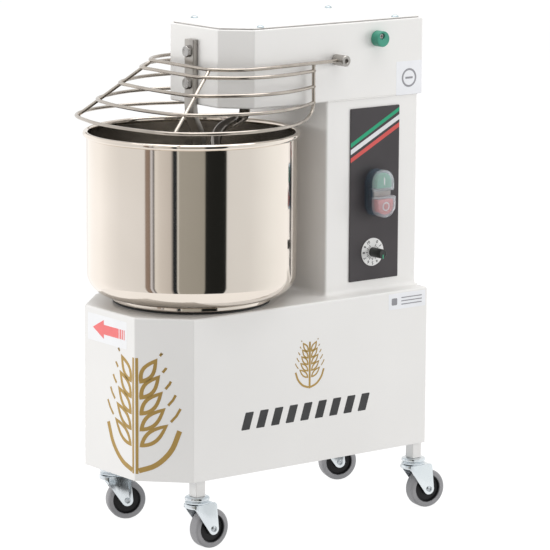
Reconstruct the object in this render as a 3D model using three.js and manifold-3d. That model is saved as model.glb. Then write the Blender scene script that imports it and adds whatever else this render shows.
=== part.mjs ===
// Spiral dough mixer on casters: a ten litre bowl turns on the base while a spiral hook
// turns beside its centre, both driven by chains from one upright shaft in the column.
// Millimetres, +Z up, +X the side with the controls, -Y the front, floor at z = 0.
import * as THREE from 'three';
import * as BufferGeometryUtils from 'three/addons/utils/BufferGeometryUtils.js';
import Module from 'manifold-3d';

const wasm = await Module();
wasm.setup();

// ---------------------------------------------------------------- driving dimensions
const BOWL_AXIS_Y = -98.5; // the bowl's axis, ahead of the middle of the footprint
const GAP = 0.3;
const SHEET = 2;

const BASE = { half: 106, front: -126, rear: 299, chamfer: 52, bottom: 89, top: 294 };
const COLUMN = { half: 81.5, front: 150, rear: 298 };
const HEAD = { half: 82, front: 3, rear: 305.5, chamfer: 32.5, bottom: 541.5, top: 639 };
const LID = { inset: 3.5, thickness: 2 };
const LEG = { x: 92.5, front: -58.5, rear: 290, size: 15, wall: 1.6, bottom: 68 };

const WHEEL = { radius: 25, width: 16, hub: 12, bore: 4.3, trail: 18 };
const FORK = { disc: 15.5, stem: 5.2, stemTop: 84, cheekGap: 9, cheek: 2, crown: 56, axle: 4 };

const BOWL = { radius: 132, wall: 1.5, bottom: 304, corner: 28, rim: 506.2, bead: 3.5 };
const CARRIER = { radius: 101, bottom: 297.3 };
const BOWL_SHAFT = { radius: 12.5, bottom: 206 };

const SPIRAL = { y: 82.5, bar: 7.3, radius: 37, toeRadius: 31, start: 525, toe: 320, turns: 1.53 };
const DRIVE = { y: 225, radius: 9 };
const CHAIN = { pitch: 12.7, width: 5.6, band: 6, clearance: 0.9 };
const TEETH = { bowl: 46, lowerDrive: 10, upperDrive: 18, spiral: 12 };
const LOWER_CHAIN_Z = 215;
const UPPER_CHAIN_Z = 605;

const HINGE = { y: 163, z: 594.5, boss: 7, bossLength: 21.5, pin: 5 };
const WIRE = 2.5;
const STOP = { y: 229.5, z: 617, radius: 10, length: 13 };
const PANEL = { front: 187.5, rear: 267, bottom: 308, top: 530, thickness: 1.5 };
const BUTTON = { y: 228, radius: 10.5, stem: 4, startZ: 437, stopZ: 405 };
const TIMER = { y: 224.3, z: 344, dial: 18, knob: 6.2, knobLength: 21 };

// ---------------------------------------------------------------- geometry helpers
function toSolid(geometry) {
  const plain = geometry.clone();
  plain.deleteAttribute('normal');
  plain.deleteAttribute('uv');
  const merged = BufferGeometryUtils.mergeVertices(plain, 1e-4);
  const vertProperties = new Float32Array(merged.attributes.position.array);
  const triVerts = new Uint32Array(merged.index.array);
  return new wasm.Manifold(new wasm.Mesh({ numProp: 3, vertProperties, triVerts }));
}

function toGeometry(solid) {
  const { vertProperties, triVerts } = solid.getMesh();
  const geometry = new THREE.BufferGeometry();
  geometry.setAttribute('position', new THREE.BufferAttribute(vertProperties, 3));
  geometry.setIndex(new THREE.BufferAttribute(triVerts, 1));
  geometry.computeVertexNormals();
  return geometry;
}

const join = (...solids) => solids.reduce((whole, next) => whole.add(next));
const cut = (solid, ...tools) => tools.reduce((left, tool) => left.subtract(tool), solid);

function block(x0, x1, y0, y1, z0, z1) {
  const geometry = new THREE.BoxGeometry(x1 - x0, y1 - y0, z1 - z0);
  geometry.translate((x0 + x1) / 2, (y0 + y1) / 2, (z0 + z1) / 2);
  return toSolid(geometry);
}

function prism(outline, z0, z1) {
  const shape = new THREE.Shape(outline.map(([x, y]) => new THREE.Vector2(x, y)));
  const geometry = new THREE.ExtrudeGeometry(shape, { depth: z1 - z0, bevelEnabled: false });
  geometry.translate(0, 0, z0);
  return toSolid(geometry);
}

// Turns a geometry made about Z so that its axis lies along X or Y.
const AXIS_TURN = {
  x: new THREE.Matrix4().makeBasis(
    new THREE.Vector3(0, 1, 0), new THREE.Vector3(0, 0, 1), new THREE.Vector3(1, 0, 0)),
  y: new THREE.Matrix4().makeBasis(
    new THREE.Vector3(0, 0, 1), new THREE.Vector3(1, 0, 0), new THREE.Vector3(0, 1, 0)),
  z: new THREE.Matrix4(),
};

function turned(profile, segments, axis = 'z', place = [0, 0, 0]) {
  const points = profile.map(([r, h]) => new THREE.Vector2(r, h));
  const geometry = new THREE.LatheGeometry(points, segments);
  geometry.rotateX(Math.PI / 2);
  geometry.applyMatrix4(AXIS_TURN[axis]);
  geometry.translate(...place);
  const solid = toSolid(geometry);
  return solid;
}

// A disc or pin from a to b along the axis, through place.
function pin(radius, a, b, axis, place, segments = 16) {
  return turned([[0, a], [radius, a], [radius, b], [0, b]], segments, axis, place);
}

function ring(inner, outer, a, b, axis, place, segments = 20) {
  const profile = [[inner, a], [outer, a], [outer, b], [inner, b], [inner, a]];
  return turned(profile, segments, axis, place);
}

function tube(points, radius, steps, sides = 8, kind = 'centripetal') {
  const path = new THREE.CatmullRomCurve3(points.map((p) => new THREE.Vector3(...p)), false, kind);
  const section = new THREE.Shape();
  for (let i = 0; i < sides; i += 1) {
    const angle = (2 * Math.PI * i) / sides;
    const corner = [radius * Math.cos(angle), radius * Math.sin(angle)];
    if (i === 0) section.moveTo(...corner);
    else section.lineTo(...corner);
  }
  section.closePath();
  return toSolid(new THREE.ExtrudeGeometry(section, { steps, extrudePath: path }));
}

// ---------------------------------------------------------------- the model
const mixer = new THREE.Group();
const machine = new THREE.Group();
machine.position.y = BOWL_AXIS_Y;
mixer.add(machine);

const FINISH = {
  paint: { color: 0xe2e0dc, roughness: 0.38, metalness: 0 },
  polished: { color: 0xd9d7d2, roughness: 0.12, metalness: 1 },
  steel: { color: 0x8f8c88, roughness: 0.35, metalness: 1 },
  zinc: { color: 0xb9b9b6, roughness: 0.3, metalness: 1 },
  black: { color: 0x1b1b1c, roughness: 0.55, metalness: 0 },
  panel: { color: 0x4a4648, roughness: 0.45, metalness: 0 },
  green: { color: 0x3f9c80, roughness: 0.4, metalness: 0 },
  red: { color: 0xc83a32, roughness: 0.35, metalness: 0 },
  clear: { color: 0xdfe2df, roughness: 0.3, metalness: 0 },
  white: { color: 0xf1f1ef, roughness: 0.4, metalness: 0 },
  tread: { color: 0x77777a, roughness: 0.7, metalness: 0 },
  casting: { color: 0x6d7175, roughness: 0.6, metalness: 0.6 },
};

function add(name, solid, finish, group = machine) {
  const material = new THREE.MeshStandardMaterial(FINISH[finish]);
  const mesh = new THREE.Mesh(toGeometry(solid), material);
  mesh.name = name;
  group.add(mesh);
  return mesh;
}

// Outline of a casing with its two front corners cut off, drawn in by inset.
function casing(box, inset = 0) {
  const half = box.half - inset;
  const front = box.front + inset;
  const rear = box.rear - inset;
  const chamfer = box.chamfer - inset * (2 - Math.SQRT2);
  return [
    [-half, rear], [-half, front + chamfer], [-half + chamfer, front],
    [half - chamfer, front], [half, front + chamfer], [half, rear],
  ];
}

// Base: a folded steel casing, open below, closed by a floor plate.
const baseShell = cut(
  prism(casing(BASE), BASE.bottom, BASE.top),
  prism(casing(BASE, SHEET), BASE.bottom - 10, BASE.top - SHEET),
  pin(20, BASE.top - 10, BASE.top + 10, 'z', [0, 0, 0], 24),
  pin(24, BASE.top - 10, BASE.top + 10, 'z', [0, DRIVE.y, 0], 24),
  pin(6, BASE.rear - 10, BASE.rear + 10, 'y', [-60, 0, 130], 16),
);
add('base_housing', baseShell, 'paint');
const floorPlate = prism(casing(BASE, SHEET + GAP), BASE.bottom, BASE.bottom + SHEET);
add('base_floor_plate', floorPlate, 'zinc');

// Column: a square sheet tube with a window at the back under a screwed cover.
const columnBottom = BASE.top + GAP;
const columnTop = HEAD.bottom - GAP;
const columnInner = COLUMN.half - SHEET;
const buttonHoles = [BUTTON.startZ, BUTTON.stopZ].map(
  (z) => pin(BUTTON.stem + 1, 60, 100, 'x', [0, BUTTON.y, z], 16));
const timerHole = pin(4, 60, 100, 'x', [0, TIMER.y, TIMER.z], 16);
const columnTube = cut(
  block(-COLUMN.half, COLUMN.half, COLUMN.front, COLUMN.rear, columnBottom, columnTop),
  block(-columnInner, columnInner, COLUMN.front + SHEET, COLUMN.rear - SHEET, 200, 600),
  block(-62, 62, COLUMN.rear - 10, COLUMN.rear + 10, 316, 520),
  ...buttonHoles,
  timerHole,
);
add('column_housing', columnTube, 'paint');
add('rear_cover', block(-70, 70, COLUMN.rear + GAP, COLUMN.rear + 1.8, 308, 528), 'paint');

// Head: a folded casing over the spiral, with a turned-in top flange under a flat lid.
const boltHoles = [608.5, 568.5].map((z) => pin(4.4, -20, 20, 'y', [0, 0, z], 16));
const pivotHole = pin(HINGE.pin + 0.4, -100, 100, 'x', [0, HINGE.y, HINGE.z], 16);
const headShell = cut(
  prism(casing(HEAD), HEAD.bottom, HEAD.top),
  prism(casing(HEAD, SHEET), HEAD.bottom + SHEET, HEAD.top - SHEET),
  prism(casing(HEAD, 14), HEAD.top - 10, HEAD.top + 10),
  pin(12, HEAD.bottom - 5, HEAD.bottom + 5, 'z', [0, SPIRAL.y, 0], 20),
  block(-72, 72, 160, 288, HEAD.bottom - 5, HEAD.bottom + 5),
  pivotHole,
  ...boltHoles,
);
add('head_housing', headShell, 'paint');
const lidBottom = HEAD.top + GAP;
add('head_lid', prism(casing(HEAD, LID.inset), lidBottom, lidBottom + LID.thickness), 'paint');

// Legs: four short square tubes welded under the floor, one for each caster's stem.
const CASTERS = [
  { name: 'front_right', x: LEG.x, y: LEG.front, turn: 0 },
  { name: 'front_left', x: -LEG.x, y: LEG.front, turn: -21.7 },
  { name: 'rear_right', x: LEG.x, y: LEG.rear, turn: -8.3 },
  { name: 'rear_left', x: -LEG.x, y: LEG.rear, turn: -19.3 },
];
const legTop = BASE.bottom - GAP;
for (const { name, x, y } of CASTERS) {
  const outer = LEG.size / 2;
  const inner = outer - LEG.wall;
  const leg = cut(
    block(x - outer, x + outer, y - outer, y + outer, LEG.bottom, legTop),
    block(x - inner, x + inner, y - inner, y + inner, LEG.bottom - 5, legTop + 5),
  );
  add(`leg_${name}`, leg, 'paint');
}

// Casters: a fork that swivels on its stem, and a wheel behind the swivel axis.
function forkSolid() {
  const discTop = LEG.bottom - GAP;
  const outer = FORK.cheekGap + FORK.cheek;
  const crown = block(-outer, outer, -9, WHEEL.trail + 4, FORK.crown, FORK.crown + 3);
  const side = [
    [-9, FORK.crown + 3], [WHEEL.trail + 4, FORK.crown + 3],
    [WHEEL.trail + 9, WHEEL.radius + 4], [WHEEL.trail + 6, WHEEL.radius - 8],
    [WHEEL.trail - 6, WHEEL.radius - 8], [WHEEL.trail - 9, WHEEL.radius + 4],
  ];
  const shape = new THREE.Shape(side.map(([y, z]) => new THREE.Vector2(y, z)));
  const cheeks = [-outer, FORK.cheekGap].map((x) => {
    const cheek = new THREE.ExtrudeGeometry(shape, { depth: FORK.cheek, bevelEnabled: false });
    cheek.applyMatrix4(AXIS_TURN.x);
    cheek.translate(x, 0, 0);
    return toSolid(cheek);
  });
  return join(
    pin(FORK.disc, FORK.crown + 2, discTop, 'z', [0, 0, 0], 18),
    pin(FORK.stem, discTop - 1, FORK.stemTop, 'z', [0, 0, 0], 10),
    crown,
    ...cheeks,
    pin(FORK.axle, -outer - 2, outer + 2, 'x', [0, WHEEL.trail, WHEEL.radius], 10),
  );
}

function wheelSolid() {
  const half = WHEEL.width / 2;
  const tread = WHEEL.radius - 1.8;
  const profile = [
    [WHEEL.bore, -half - 0.5], [WHEEL.hub, -half - 0.5],
    [tread, -half], [WHEEL.radius, -half + 2.5], [WHEEL.radius, half - 2.5],
    [tread, half], [WHEEL.hub, half + 0.5],
    [WHEEL.bore, half + 0.5], [WHEEL.bore, -half - 0.5],
  ];
  return turned(profile, 20, 'x', [0, WHEEL.trail, WHEEL.radius]);
}

for (const { name, x, y, turn } of CASTERS) {
  const caster = new THREE.Group();
  caster.position.set(x, y, 0);
  caster.rotation.z = THREE.MathUtils.degToRad(turn);
  machine.add(caster);
  add(`caster_fork_${name}`, forkSolid(), 'zinc', caster);
  add(`caster_wheel_${name}`, wheelSolid(), 'tread', caster);
}

// Bowl: a spun bowl with a rolled rim, on a carrier disc keyed to its upright shaft.
function arc(cx, cz, radius, from, to, steps) {
  return Array.from({ length: steps + 1 }, (_, i) => {
    const angle = THREE.MathUtils.degToRad(from + ((to - from) * i) / steps);
    return [cx + radius * Math.cos(angle), cz + radius * Math.sin(angle)];
  });
}

const cornerX = BOWL.radius - BOWL.corner;
const cornerZ = BOWL.bottom + BOWL.corner;
const bowlProfile = [
  [0, BOWL.bottom],
  ...arc(cornerX, cornerZ, BOWL.corner, -90, 0, 3),
  [BOWL.radius, BOWL.rim - BOWL.bead],
  ...arc(BOWL.radius + 0.7, BOWL.rim, BOWL.bead, -60, 150, 4),
  [BOWL.radius - BOWL.wall, BOWL.rim - BOWL.bead],
  ...arc(cornerX, cornerZ, BOWL.corner - BOWL.wall, 0, -90, 3),
  [0, BOWL.bottom + BOWL.wall],
];
add('bowl', turned(bowlProfile, 40), 'polished');

const carrierTop = BOWL.bottom - GAP;
const carrierProfile = [
  [0, 300], [90, 300], [92, CARRIER.bottom], [CARRIER.radius, CARRIER.bottom],
  [CARRIER.radius, carrierTop], [0, carrierTop],
];
add('bowl_carrier', turned(carrierProfile, 36), 'polished');
const seat = ring(92.5, 99, BASE.top + 0.8, CARRIER.bottom - GAP, 'z', [0, 0, 0], 36);
add('bowl_seat_ring', seat, 'black');
add('bowl_shaft', pin(BOWL_SHAFT.radius, BOWL_SHAFT.bottom, 299.7, 'z', [0, 0, 0]), 'steel');

const bowlBearings = [236, 272];
const bowlHousing = turned([
  [26.3, 230], [34, 230], [34, 283], [52, 285], [52, 291.7], [26.3, 291.7], [26.3, 230],
], 20);
add('bowl_bearing_housing', bowlHousing, 'casting');
add('bowl_bearing_lower', ring(12.8, 26, bowlBearings[0], bowlBearings[0] + 12, 'z'), 'steel');
add('bowl_bearing_upper', ring(12.8, 26, bowlBearings[1], bowlBearings[1] + 12, 'z'), 'steel');

// Sprockets: flat toothed discs on a hub, pitched for half-inch roller chain.
const pitchRadius = (teeth) => CHAIN.pitch / (2 * Math.sin(Math.PI / teeth));

function sprocket(teeth, bore, y, z) {
  const root = pitchRadius(teeth) - 4.2;
  const tip = pitchRadius(teeth) + 3.2;
  const outline = Array.from({ length: teeth * 3 }, (_, i) => {
    const angle = ((i + 0.5) * 2 * Math.PI) / (teeth * 3);
    const radius = i % 3 < 1 ? root : tip;
    return [radius * Math.cos(angle), y + radius * Math.sin(angle)];
  });
  const half = CHAIN.width / 2;
  return cut(
    join(prism(outline, z - half, z + half), pin(bore + 5, z - half - 6, z, 'z', [0, y, 0])),
    pin(bore, z - 20, z + 20, 'z', [0, y, 0]),
  );
}

const bowlSprocket = sprocket(TEETH.bowl, BOWL_SHAFT.radius + GAP, 0, LOWER_CHAIN_Z);
add('bowl_sprocket', bowlSprocket, 'steel');
const driveBore = DRIVE.radius + GAP;
const lowerSprocket = sprocket(TEETH.lowerDrive, driveBore, DRIVE.y, LOWER_CHAIN_Z);
add('lower_drive_sprocket', lowerSprocket, 'steel');
const upperSprocket = sprocket(TEETH.upperDrive, driveBore, DRIVE.y, UPPER_CHAIN_Z);
add('upper_drive_sprocket', upperSprocket, 'steel');
const spiralSprocket = sprocket(TEETH.spiral, 10 + GAP, SPIRAL.y, UPPER_CHAIN_Z);
add('spiral_sprocket', spiralSprocket, 'steel');

// Chains: closed bands that run just outside the tips of the teeth of both sprockets.
function bandOutline(y0, r0, y1, r1) {
  const lean = Math.asin((r0 - r1) / (y1 - y0));
  const turn = Math.PI / 2 - lean;
  const around = (y, radius, from, to, steps) => Array.from({ length: steps + 1 }, (_, i) => {
    const angle = from + ((to - from) * i) / steps;
    return [radius * Math.cos(angle), y + radius * Math.sin(angle)];
  });
  const up = Math.PI / 2;
  return [
    ...around(y0, r0, up + turn, up + 2 * Math.PI - turn, 20),
    ...around(y1, r1, up - turn, up + turn, 16),
  ];
}

function chain(y0, teeth0, y1, teeth1, z) {
  const [r0, r1] = [teeth0, teeth1].map((n) => pitchRadius(n) + 3.2 + CHAIN.clearance);
  const outer = bandOutline(y0, r0 + CHAIN.band, y1, r1 + CHAIN.band);
  const inner = bandOutline(y0, r0, y1, r1);
  return cut(prism(outer, z - 4, z + 4), prism(inner, z - 10, z + 10));
}

add('lower_chain', chain(0, TEETH.bowl, DRIVE.y, TEETH.lowerDrive, LOWER_CHAIN_Z), 'steel');
add('upper_chain', chain(SPIRAL.y, TEETH.spiral, DRIVE.y, TEETH.upperDrive, UPPER_CHAIN_Z), 'steel');

// Drive: a motor lying under the bowl turns the upright shaft through a gearbox.
const gearboxTop = 200;
const gearbox = cut(
  block(-38, 38, DRIVE.y - 38, DRIVE.y + 38, BASE.bottom + SHEET + GAP, gearboxTop),
  pin(driveBore, 118, gearboxTop + 10, 'z', [0, DRIVE.y, 0]),
);
add('gearbox_case', gearbox, 'casting');
const motorEnd = DRIVE.y - 38 - GAP;
const motor = join(
  pin(42, 40, motorEnd - 5, 'y', [0, 0, 148], 20),
  pin(48, motorEnd - 8, motorEnd, 'y', [0, 0, 148], 20),
);
add('motor_body', motor, 'casting');
add('drive_shaft', pin(DRIVE.radius, 118.3, 625, 'z', [0, DRIVE.y, 0]), 'steel');
const driveBearing = join(
  ring(driveBore, 19, 574, 584, 'z', [0, DRIVE.y, 0]),
  cut(
    block(-COLUMN.half + 4, COLUMN.half - 4, DRIVE.y - 24, DRIVE.y + 24, 570, 575),
    pin(17, 560, 580, 'z', [0, DRIVE.y, 0]),
  ),
);
add('drive_bearing', driveBearing, 'casting');

// Spiral: a round bar wound as a helix under the head, on a shaft in two bearings.
const smooth = (t) => t * t * (3 - 2 * t);

function spiralPoints(steps) {
  const shank = [[0, SPIRAL.y, HEAD.bottom + SHEET + 4], [0, SPIRAL.y, SPIRAL.start + 5]];
  const startAngle = THREE.MathUtils.degToRad(133);
  const helix = Array.from({ length: steps }, (_, i) => {
    const t = (i + 1) / steps;
    const z = SPIRAL.start + (SPIRAL.toe - SPIRAL.start) * t;
    const swell = SPIRAL.radius * smooth(Math.min(1, (t + 0.06) / 0.25));
    const draw = (SPIRAL.radius - SPIRAL.toeRadius) * smooth(Math.max(0, (t - 0.75) / 0.25));
    const angle = startAngle + 2 * Math.PI * SPIRAL.turns * t;
    const radius = swell - draw;
    return [radius * Math.cos(angle), SPIRAL.y + radius * Math.sin(angle), z];
  });
  return [...shank, ...helix];
}

add('spiral_hook', tube(spiralPoints(22), SPIRAL.bar, 52, 8), 'polished');
add('spiral_shaft', pin(10, HEAD.bottom + SHEET + 4.3, 620, 'z', [0, SPIRAL.y, 0]), 'steel');
const spiralHousing = turned([
  [21.3, 548], [21.3, 588], [28, 588], [28, 552], [42, 550], [42, 543.8], [12, 543.8],
  [12, 548], [21.3, 548],
].reverse(), 20, 'z', [0, SPIRAL.y, 0]);
add('spiral_bearing_housing', spiralHousing, 'casting');
const spiralPlace = [0, SPIRAL.y, 0];
add('spiral_bearing_lower', ring(10.3, 21, 551, 561, 'z', spiralPlace), 'steel');
add('spiral_bearing_upper', ring(10.3, 21, 577, 587, 'z', spiralPlace), 'steel');

// Breaker bar: a flat bar bolted to the head's front that reaches down inside the bowl.
function breakerBar() {
  const back = HEAD.front - 0.4;
  const face = back - 7.5;
  const lowerBack = 16;
  const lowerFace = lowerBack - 7.5;
  const side = [
    [face, 623], [back, 623], [back, 533], [lowerBack, 500], [lowerBack, 318],
    [lowerBack - 3, 314], [lowerFace, 318], [lowerFace, 498], [face, 531],
  ];
  const shape = new THREE.Shape(side.map(([y, z]) => new THREE.Vector2(y, z)));
  const bar = new THREE.ExtrudeGeometry(shape, { depth: 18.4, bevelEnabled: false });
  bar.applyMatrix4(AXIS_TURN.x);
  bar.translate(-9.2, 0, 0);
  return cut(toSolid(bar), ...boltHoles);
}

add('breaker_bar', breakerBar(), 'steel');
const boltFace = HEAD.front - 0.4 - 7.5 - GAP;
const hexBolt = (z) => join(
  pin(7.5, boltFace - 5.3, boltFace, 'y', [0, 0, z], 6),
  pin(4, boltFace - 1, HEAD.front + 9, 'y', [0, 0, z], 12),
);
add('breaker_bolt_upper', hexBolt(608.5), 'zinc');
add('breaker_bolt_lower', hexBolt(568.5), 'zinc');

// Guard: a welded wire cage over the bowl's front, hung on two bosses beside the head.
// Each wire is given by its right half, from the back to the middle of the front.
const REAR_ROD = [91, 121];
const GUARD_WIRES = [
  [
    [92, 169, 594.5], [92.5, 100, 593.6], [93, 35, 592.8], [89.5, 14, 592.5],
    [79, -4, 592.5], [62, -18.5, 592.5], [32, -19.5, 592.5], [0, -19.5, 592.5],
  ],
  [
    [...REAR_ROD, 584], [99, 95, 584], [105, 66, 584], [106, 38, 584], [100, 10, 584],
    [84, -13, 584], [64, -31.5, 584], [32, -34, 584], [0, -34.5, 584],
  ],
  [
    [...REAR_ROD, 564.5], [103, 97, 564.5], [113, 70, 564.5], [118, 40, 564.5],
    [115, 8, 564.5], [104, -20, 564.5], [77, -55, 564.5], [42, -60, 564.5], [0, -62, 564.5],
  ],
  [
    [...REAR_ROD, 544.5], [107, 97, 544.5], [121, 68, 544.5], [131, 34, 544.5],
    [132, 0, 544.5], [122, -34, 544.5], [91, -80, 544.5], [50, -93, 544.5], [0, -97, 544.5],
  ],
  [
    [...REAR_ROD, 592.6], [...REAR_ROD, 560], [...REAR_ROD, 540], [93, 117, 529],
    [99, 108, 525], [120, 78, 525], [138, 38, 525], [146, -8, 525], [137, -57, 525],
    [104, -103, 525], [56, -121, 525], [0, -128, 525],
  ],
];
const FRONT_ROD = [[60, -16.5, 592.5], [103, -100.5, 525]];

function guardCage() {
  const mirrored = (half) => half.slice(0, -1).map(([x, y, z]) => [-x, y, z]).reverse();
  const wires = GUARD_WIRES.map((half) => tube([...half, ...mirrored(half)], WIRE, 32, 6));
  const rods = [1, -1].map(
    (side) => tube(FRONT_ROD.map(([x, y, z]) => [side * x, y, z]), WIRE, 1, 6));
  return join(...wires, ...rods);
}

add('guard_cage', guardCage(), 'polished');
const bossStart = HEAD.half + 0.4;
const bossEnd = bossStart + HINGE.bossLength;
for (const [side, name] of [[1, 'right'], [-1, 'left']]) {
  const along = (a, b) => (side > 0 ? [a, b] : [-b, -a]);
  const place = [0, HINGE.y, HINGE.z];
  const boss = cut(
    pin(HINGE.boss, ...along(bossStart, bossEnd), 'x', place),
    pin(HINGE.pin + GAP, ...along(bossStart - 5, 87.5), 'x', place),
    pin(WIRE + GAP, HINGE.y - 20, HINGE.y + 20, 'y', [side * 92, 0, HINGE.z], 10),
  );
  add(`guard_boss_${name}`, boss, 'zinc');
  const pivot = pin(HINGE.pin, ...along(62, 87.2), 'x', place, 16);
  const cam = join(
    pin(11, ...along(62, 68), 'x', place),
    block(...along(62, 68), HINGE.y - 4, HINGE.y + 4, HINGE.z, HINGE.z + 18),
  );
  add(`guard_pivot_${name}`, side > 0 ? join(pivot, cam) : pivot, 'steel');
}
add('guard_switch', block(58, 76, 116, 147, 574, 616), 'black');

// Guard stop: a plastic disc on an off-centre screw that the open guard leans on.
const stopStart = HEAD.half + GAP;
const guardStop = cut(
  pin(STOP.radius, stopStart, stopStart + STOP.length, 'x', [0, STOP.y, STOP.z], 18),
  pin(3.8, stopStart + 6, stopStart + 30, 'x', [0, STOP.y - 1.7, STOP.z + 3.6], 10),
);
add('guard_stop', guardStop, 'green');

// Controls: a plate on the column with two push buttons in a clear boot, and a timer.
const panelStart = COLUMN.half + GAP;
const panelEnd = panelStart + PANEL.thickness;
const panel = cut(
  block(panelStart, panelEnd, PANEL.front, PANEL.rear, PANEL.bottom, PANEL.top),
  ...buttonHoles,
  timerHole,
);
add('control_panel', panel, 'panel');
const bootStart = panelEnd + GAP;

function bootOutline(inset) {
  const centre = (BUTTON.startZ + BUTTON.stopZ) / 2;
  const lobe = 15.5 - inset;
  const halfHeight = 30 - inset;
  const halfWidth = 17.5 - inset;
  const corner = 5;
  return [
    [-halfWidth + corner, -halfHeight], [halfWidth - corner, -halfHeight],
    [halfWidth, -halfHeight + corner], [halfWidth, -5], [lobe, 0], [halfWidth, 5],
    [halfWidth, halfHeight - corner], [halfWidth - corner, halfHeight],
    [-halfWidth + corner, halfHeight], [-halfWidth, halfHeight - corner],
    [-halfWidth, 5], [-lobe, 0], [-halfWidth, -5], [-halfWidth, -halfHeight + corner],
  ].map(([y, z]) => [BUTTON.y + y, centre + z]);
}

function alongX(outline, x0, x1) {
  const shape = new THREE.Shape(outline.map(([y, z]) => new THREE.Vector2(y, z)));
  const geometry = new THREE.ExtrudeGeometry(shape, { depth: x1 - x0, bevelEnabled: false });
  geometry.applyMatrix4(AXIS_TURN.x);
  geometry.translate(x0, 0, 0);
  return toSolid(geometry);
}

const FACE_START = 102;
const FACE_STOP = 105.5;
const bootFace = 99;
const domeRadius = BUTTON.radius + 2.4;
const bootOuter = join(
  alongX(bootOutline(0), bootStart, bootFace),
  pin(domeRadius, 90, FACE_START + 2, 'x', [0, BUTTON.y, BUTTON.startZ], 18),
  pin(domeRadius, 90, FACE_STOP + 2, 'x', [0, BUTTON.y, BUTTON.stopZ], 18),
);
const bootInner = join(
  alongX(bootOutline(1.5), bootStart - 5, bootFace - 1.5),
  pin(domeRadius - 1.5, 80, FACE_START + 0.5, 'x', [0, BUTTON.y, BUTTON.startZ], 18),
  pin(domeRadius - 1.5, 80, FACE_STOP + 0.5, 'x', [0, BUTTON.y, BUTTON.stopZ], 18),
);
add('button_boot', cut(bootOuter, bootInner), 'clear');
const button = (z, face) => join(
  pin(BUTTON.radius, bootStart + 4, face, 'x', [0, BUTTON.y, z], 16),
  pin(BUTTON.stem, 64, bootStart + 5, 'x', [0, BUTTON.y, z], 12),
);
add('start_button', button(BUTTON.startZ, FACE_START), 'green');
add('stop_button', button(BUTTON.stopZ, FACE_STOP), 'red');
const dial = ring(4, TIMER.dial, panelEnd + GAP, panelEnd + 1.1, 'x', [0, TIMER.y, TIMER.z], 24);
add('timer_dial', dial, 'white');
const knobStart = panelEnd + 1.4;
const knob = join(
  pin(TIMER.knob, knobStart, knobStart + TIMER.knobLength, 'x', [0, TIMER.y, TIMER.z], 16),
  pin(3, 70, knobStart + 5, 'x', [0, TIMER.y, TIMER.z], 12),
);
add('timer_knob', knob, 'black');
add('timer_body', block(34, 69.5, 202, 246, 322, 366), 'black');
add('control_box', block(18, 60, 176, 274, 386, 456), 'black');
const gland = ring(4.5, 9, BASE.rear + GAP, BASE.rear + 16, 'y', [-60, 0, 130], 18);
add('cable_gland', gland, 'black');

export default mixer;
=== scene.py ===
import math

import bpy
import numpy as np
from mathutils import Matrix, Vector


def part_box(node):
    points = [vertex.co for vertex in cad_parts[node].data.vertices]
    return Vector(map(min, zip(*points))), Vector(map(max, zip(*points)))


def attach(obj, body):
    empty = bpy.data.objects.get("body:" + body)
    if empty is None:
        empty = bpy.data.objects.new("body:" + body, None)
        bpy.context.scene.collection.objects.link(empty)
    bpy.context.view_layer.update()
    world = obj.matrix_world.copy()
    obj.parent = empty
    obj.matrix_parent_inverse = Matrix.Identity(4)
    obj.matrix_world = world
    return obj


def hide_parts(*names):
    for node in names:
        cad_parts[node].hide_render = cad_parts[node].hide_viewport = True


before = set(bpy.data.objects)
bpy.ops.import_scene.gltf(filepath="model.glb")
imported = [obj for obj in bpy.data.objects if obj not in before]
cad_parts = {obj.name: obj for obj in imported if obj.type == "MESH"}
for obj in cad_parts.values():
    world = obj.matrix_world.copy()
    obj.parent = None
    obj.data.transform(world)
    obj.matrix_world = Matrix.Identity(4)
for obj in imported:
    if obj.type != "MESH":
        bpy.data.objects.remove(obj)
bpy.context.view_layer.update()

# ---------------------------------------------------------------- the room
# A pale floor and an even white room, with a camera far off and a little above the bowl.
# Tall boards in several tones stand round the bowl, and only its polish shows them.
scene = bpy.context.scene
scene.view_settings.view_transform = "Standard"
scene.view_settings.look = "None"

CAMERA_AT = (3.29376, -2.50763, 1.08196)
CAMERA_RIGHT = (0.60232966, 0.79823754, 0.00397615)
CAMERA_UP = (-0.14539467, 0.10481061, 0.98380645)
CAMERA_BACK = (0.7848945, -0.59315391, 0.17919003)
lens = bpy.data.cameras.new("camera")
lens.lens = 216.2
lens.sensor_width = 36
lens.shift_x = 0.0593
lens.shift_y = -0.0184
lens.clip_end = 60
camera = bpy.data.objects.new("camera", lens)
scene.collection.objects.link(camera)
facing = Matrix((CAMERA_RIGHT, CAMERA_UP, CAMERA_BACK)).transposed()
camera.matrix_world = Matrix.Translation(CAMERA_AT) @ facing.to_4x4()
scene.camera = camera

room = bpy.data.worlds.new("white_room")
scene.world = room
room.use_nodes = True
SEEN, CAST = 1.0, 0.60


def wire(tree, *joins):
    """Joins nodes in a tree: each join is (node, its output, next node, its input)."""
    for source, output, target, entry in joins:
        tree.links.new(source.outputs[output], target.inputs[entry])


def new_material(name):
    """A material made with nodes, and its shader."""
    material = bpy.data.materials.new(name)
    material.use_nodes = True
    return material, material.node_tree.nodes["Principled BSDF"]


def show(name, mesh):
    """A new object in the scene that holds the mesh."""
    holder = bpy.data.objects.new(name, mesh)
    scene.collection.objects.link(holder)
    return holder


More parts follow.
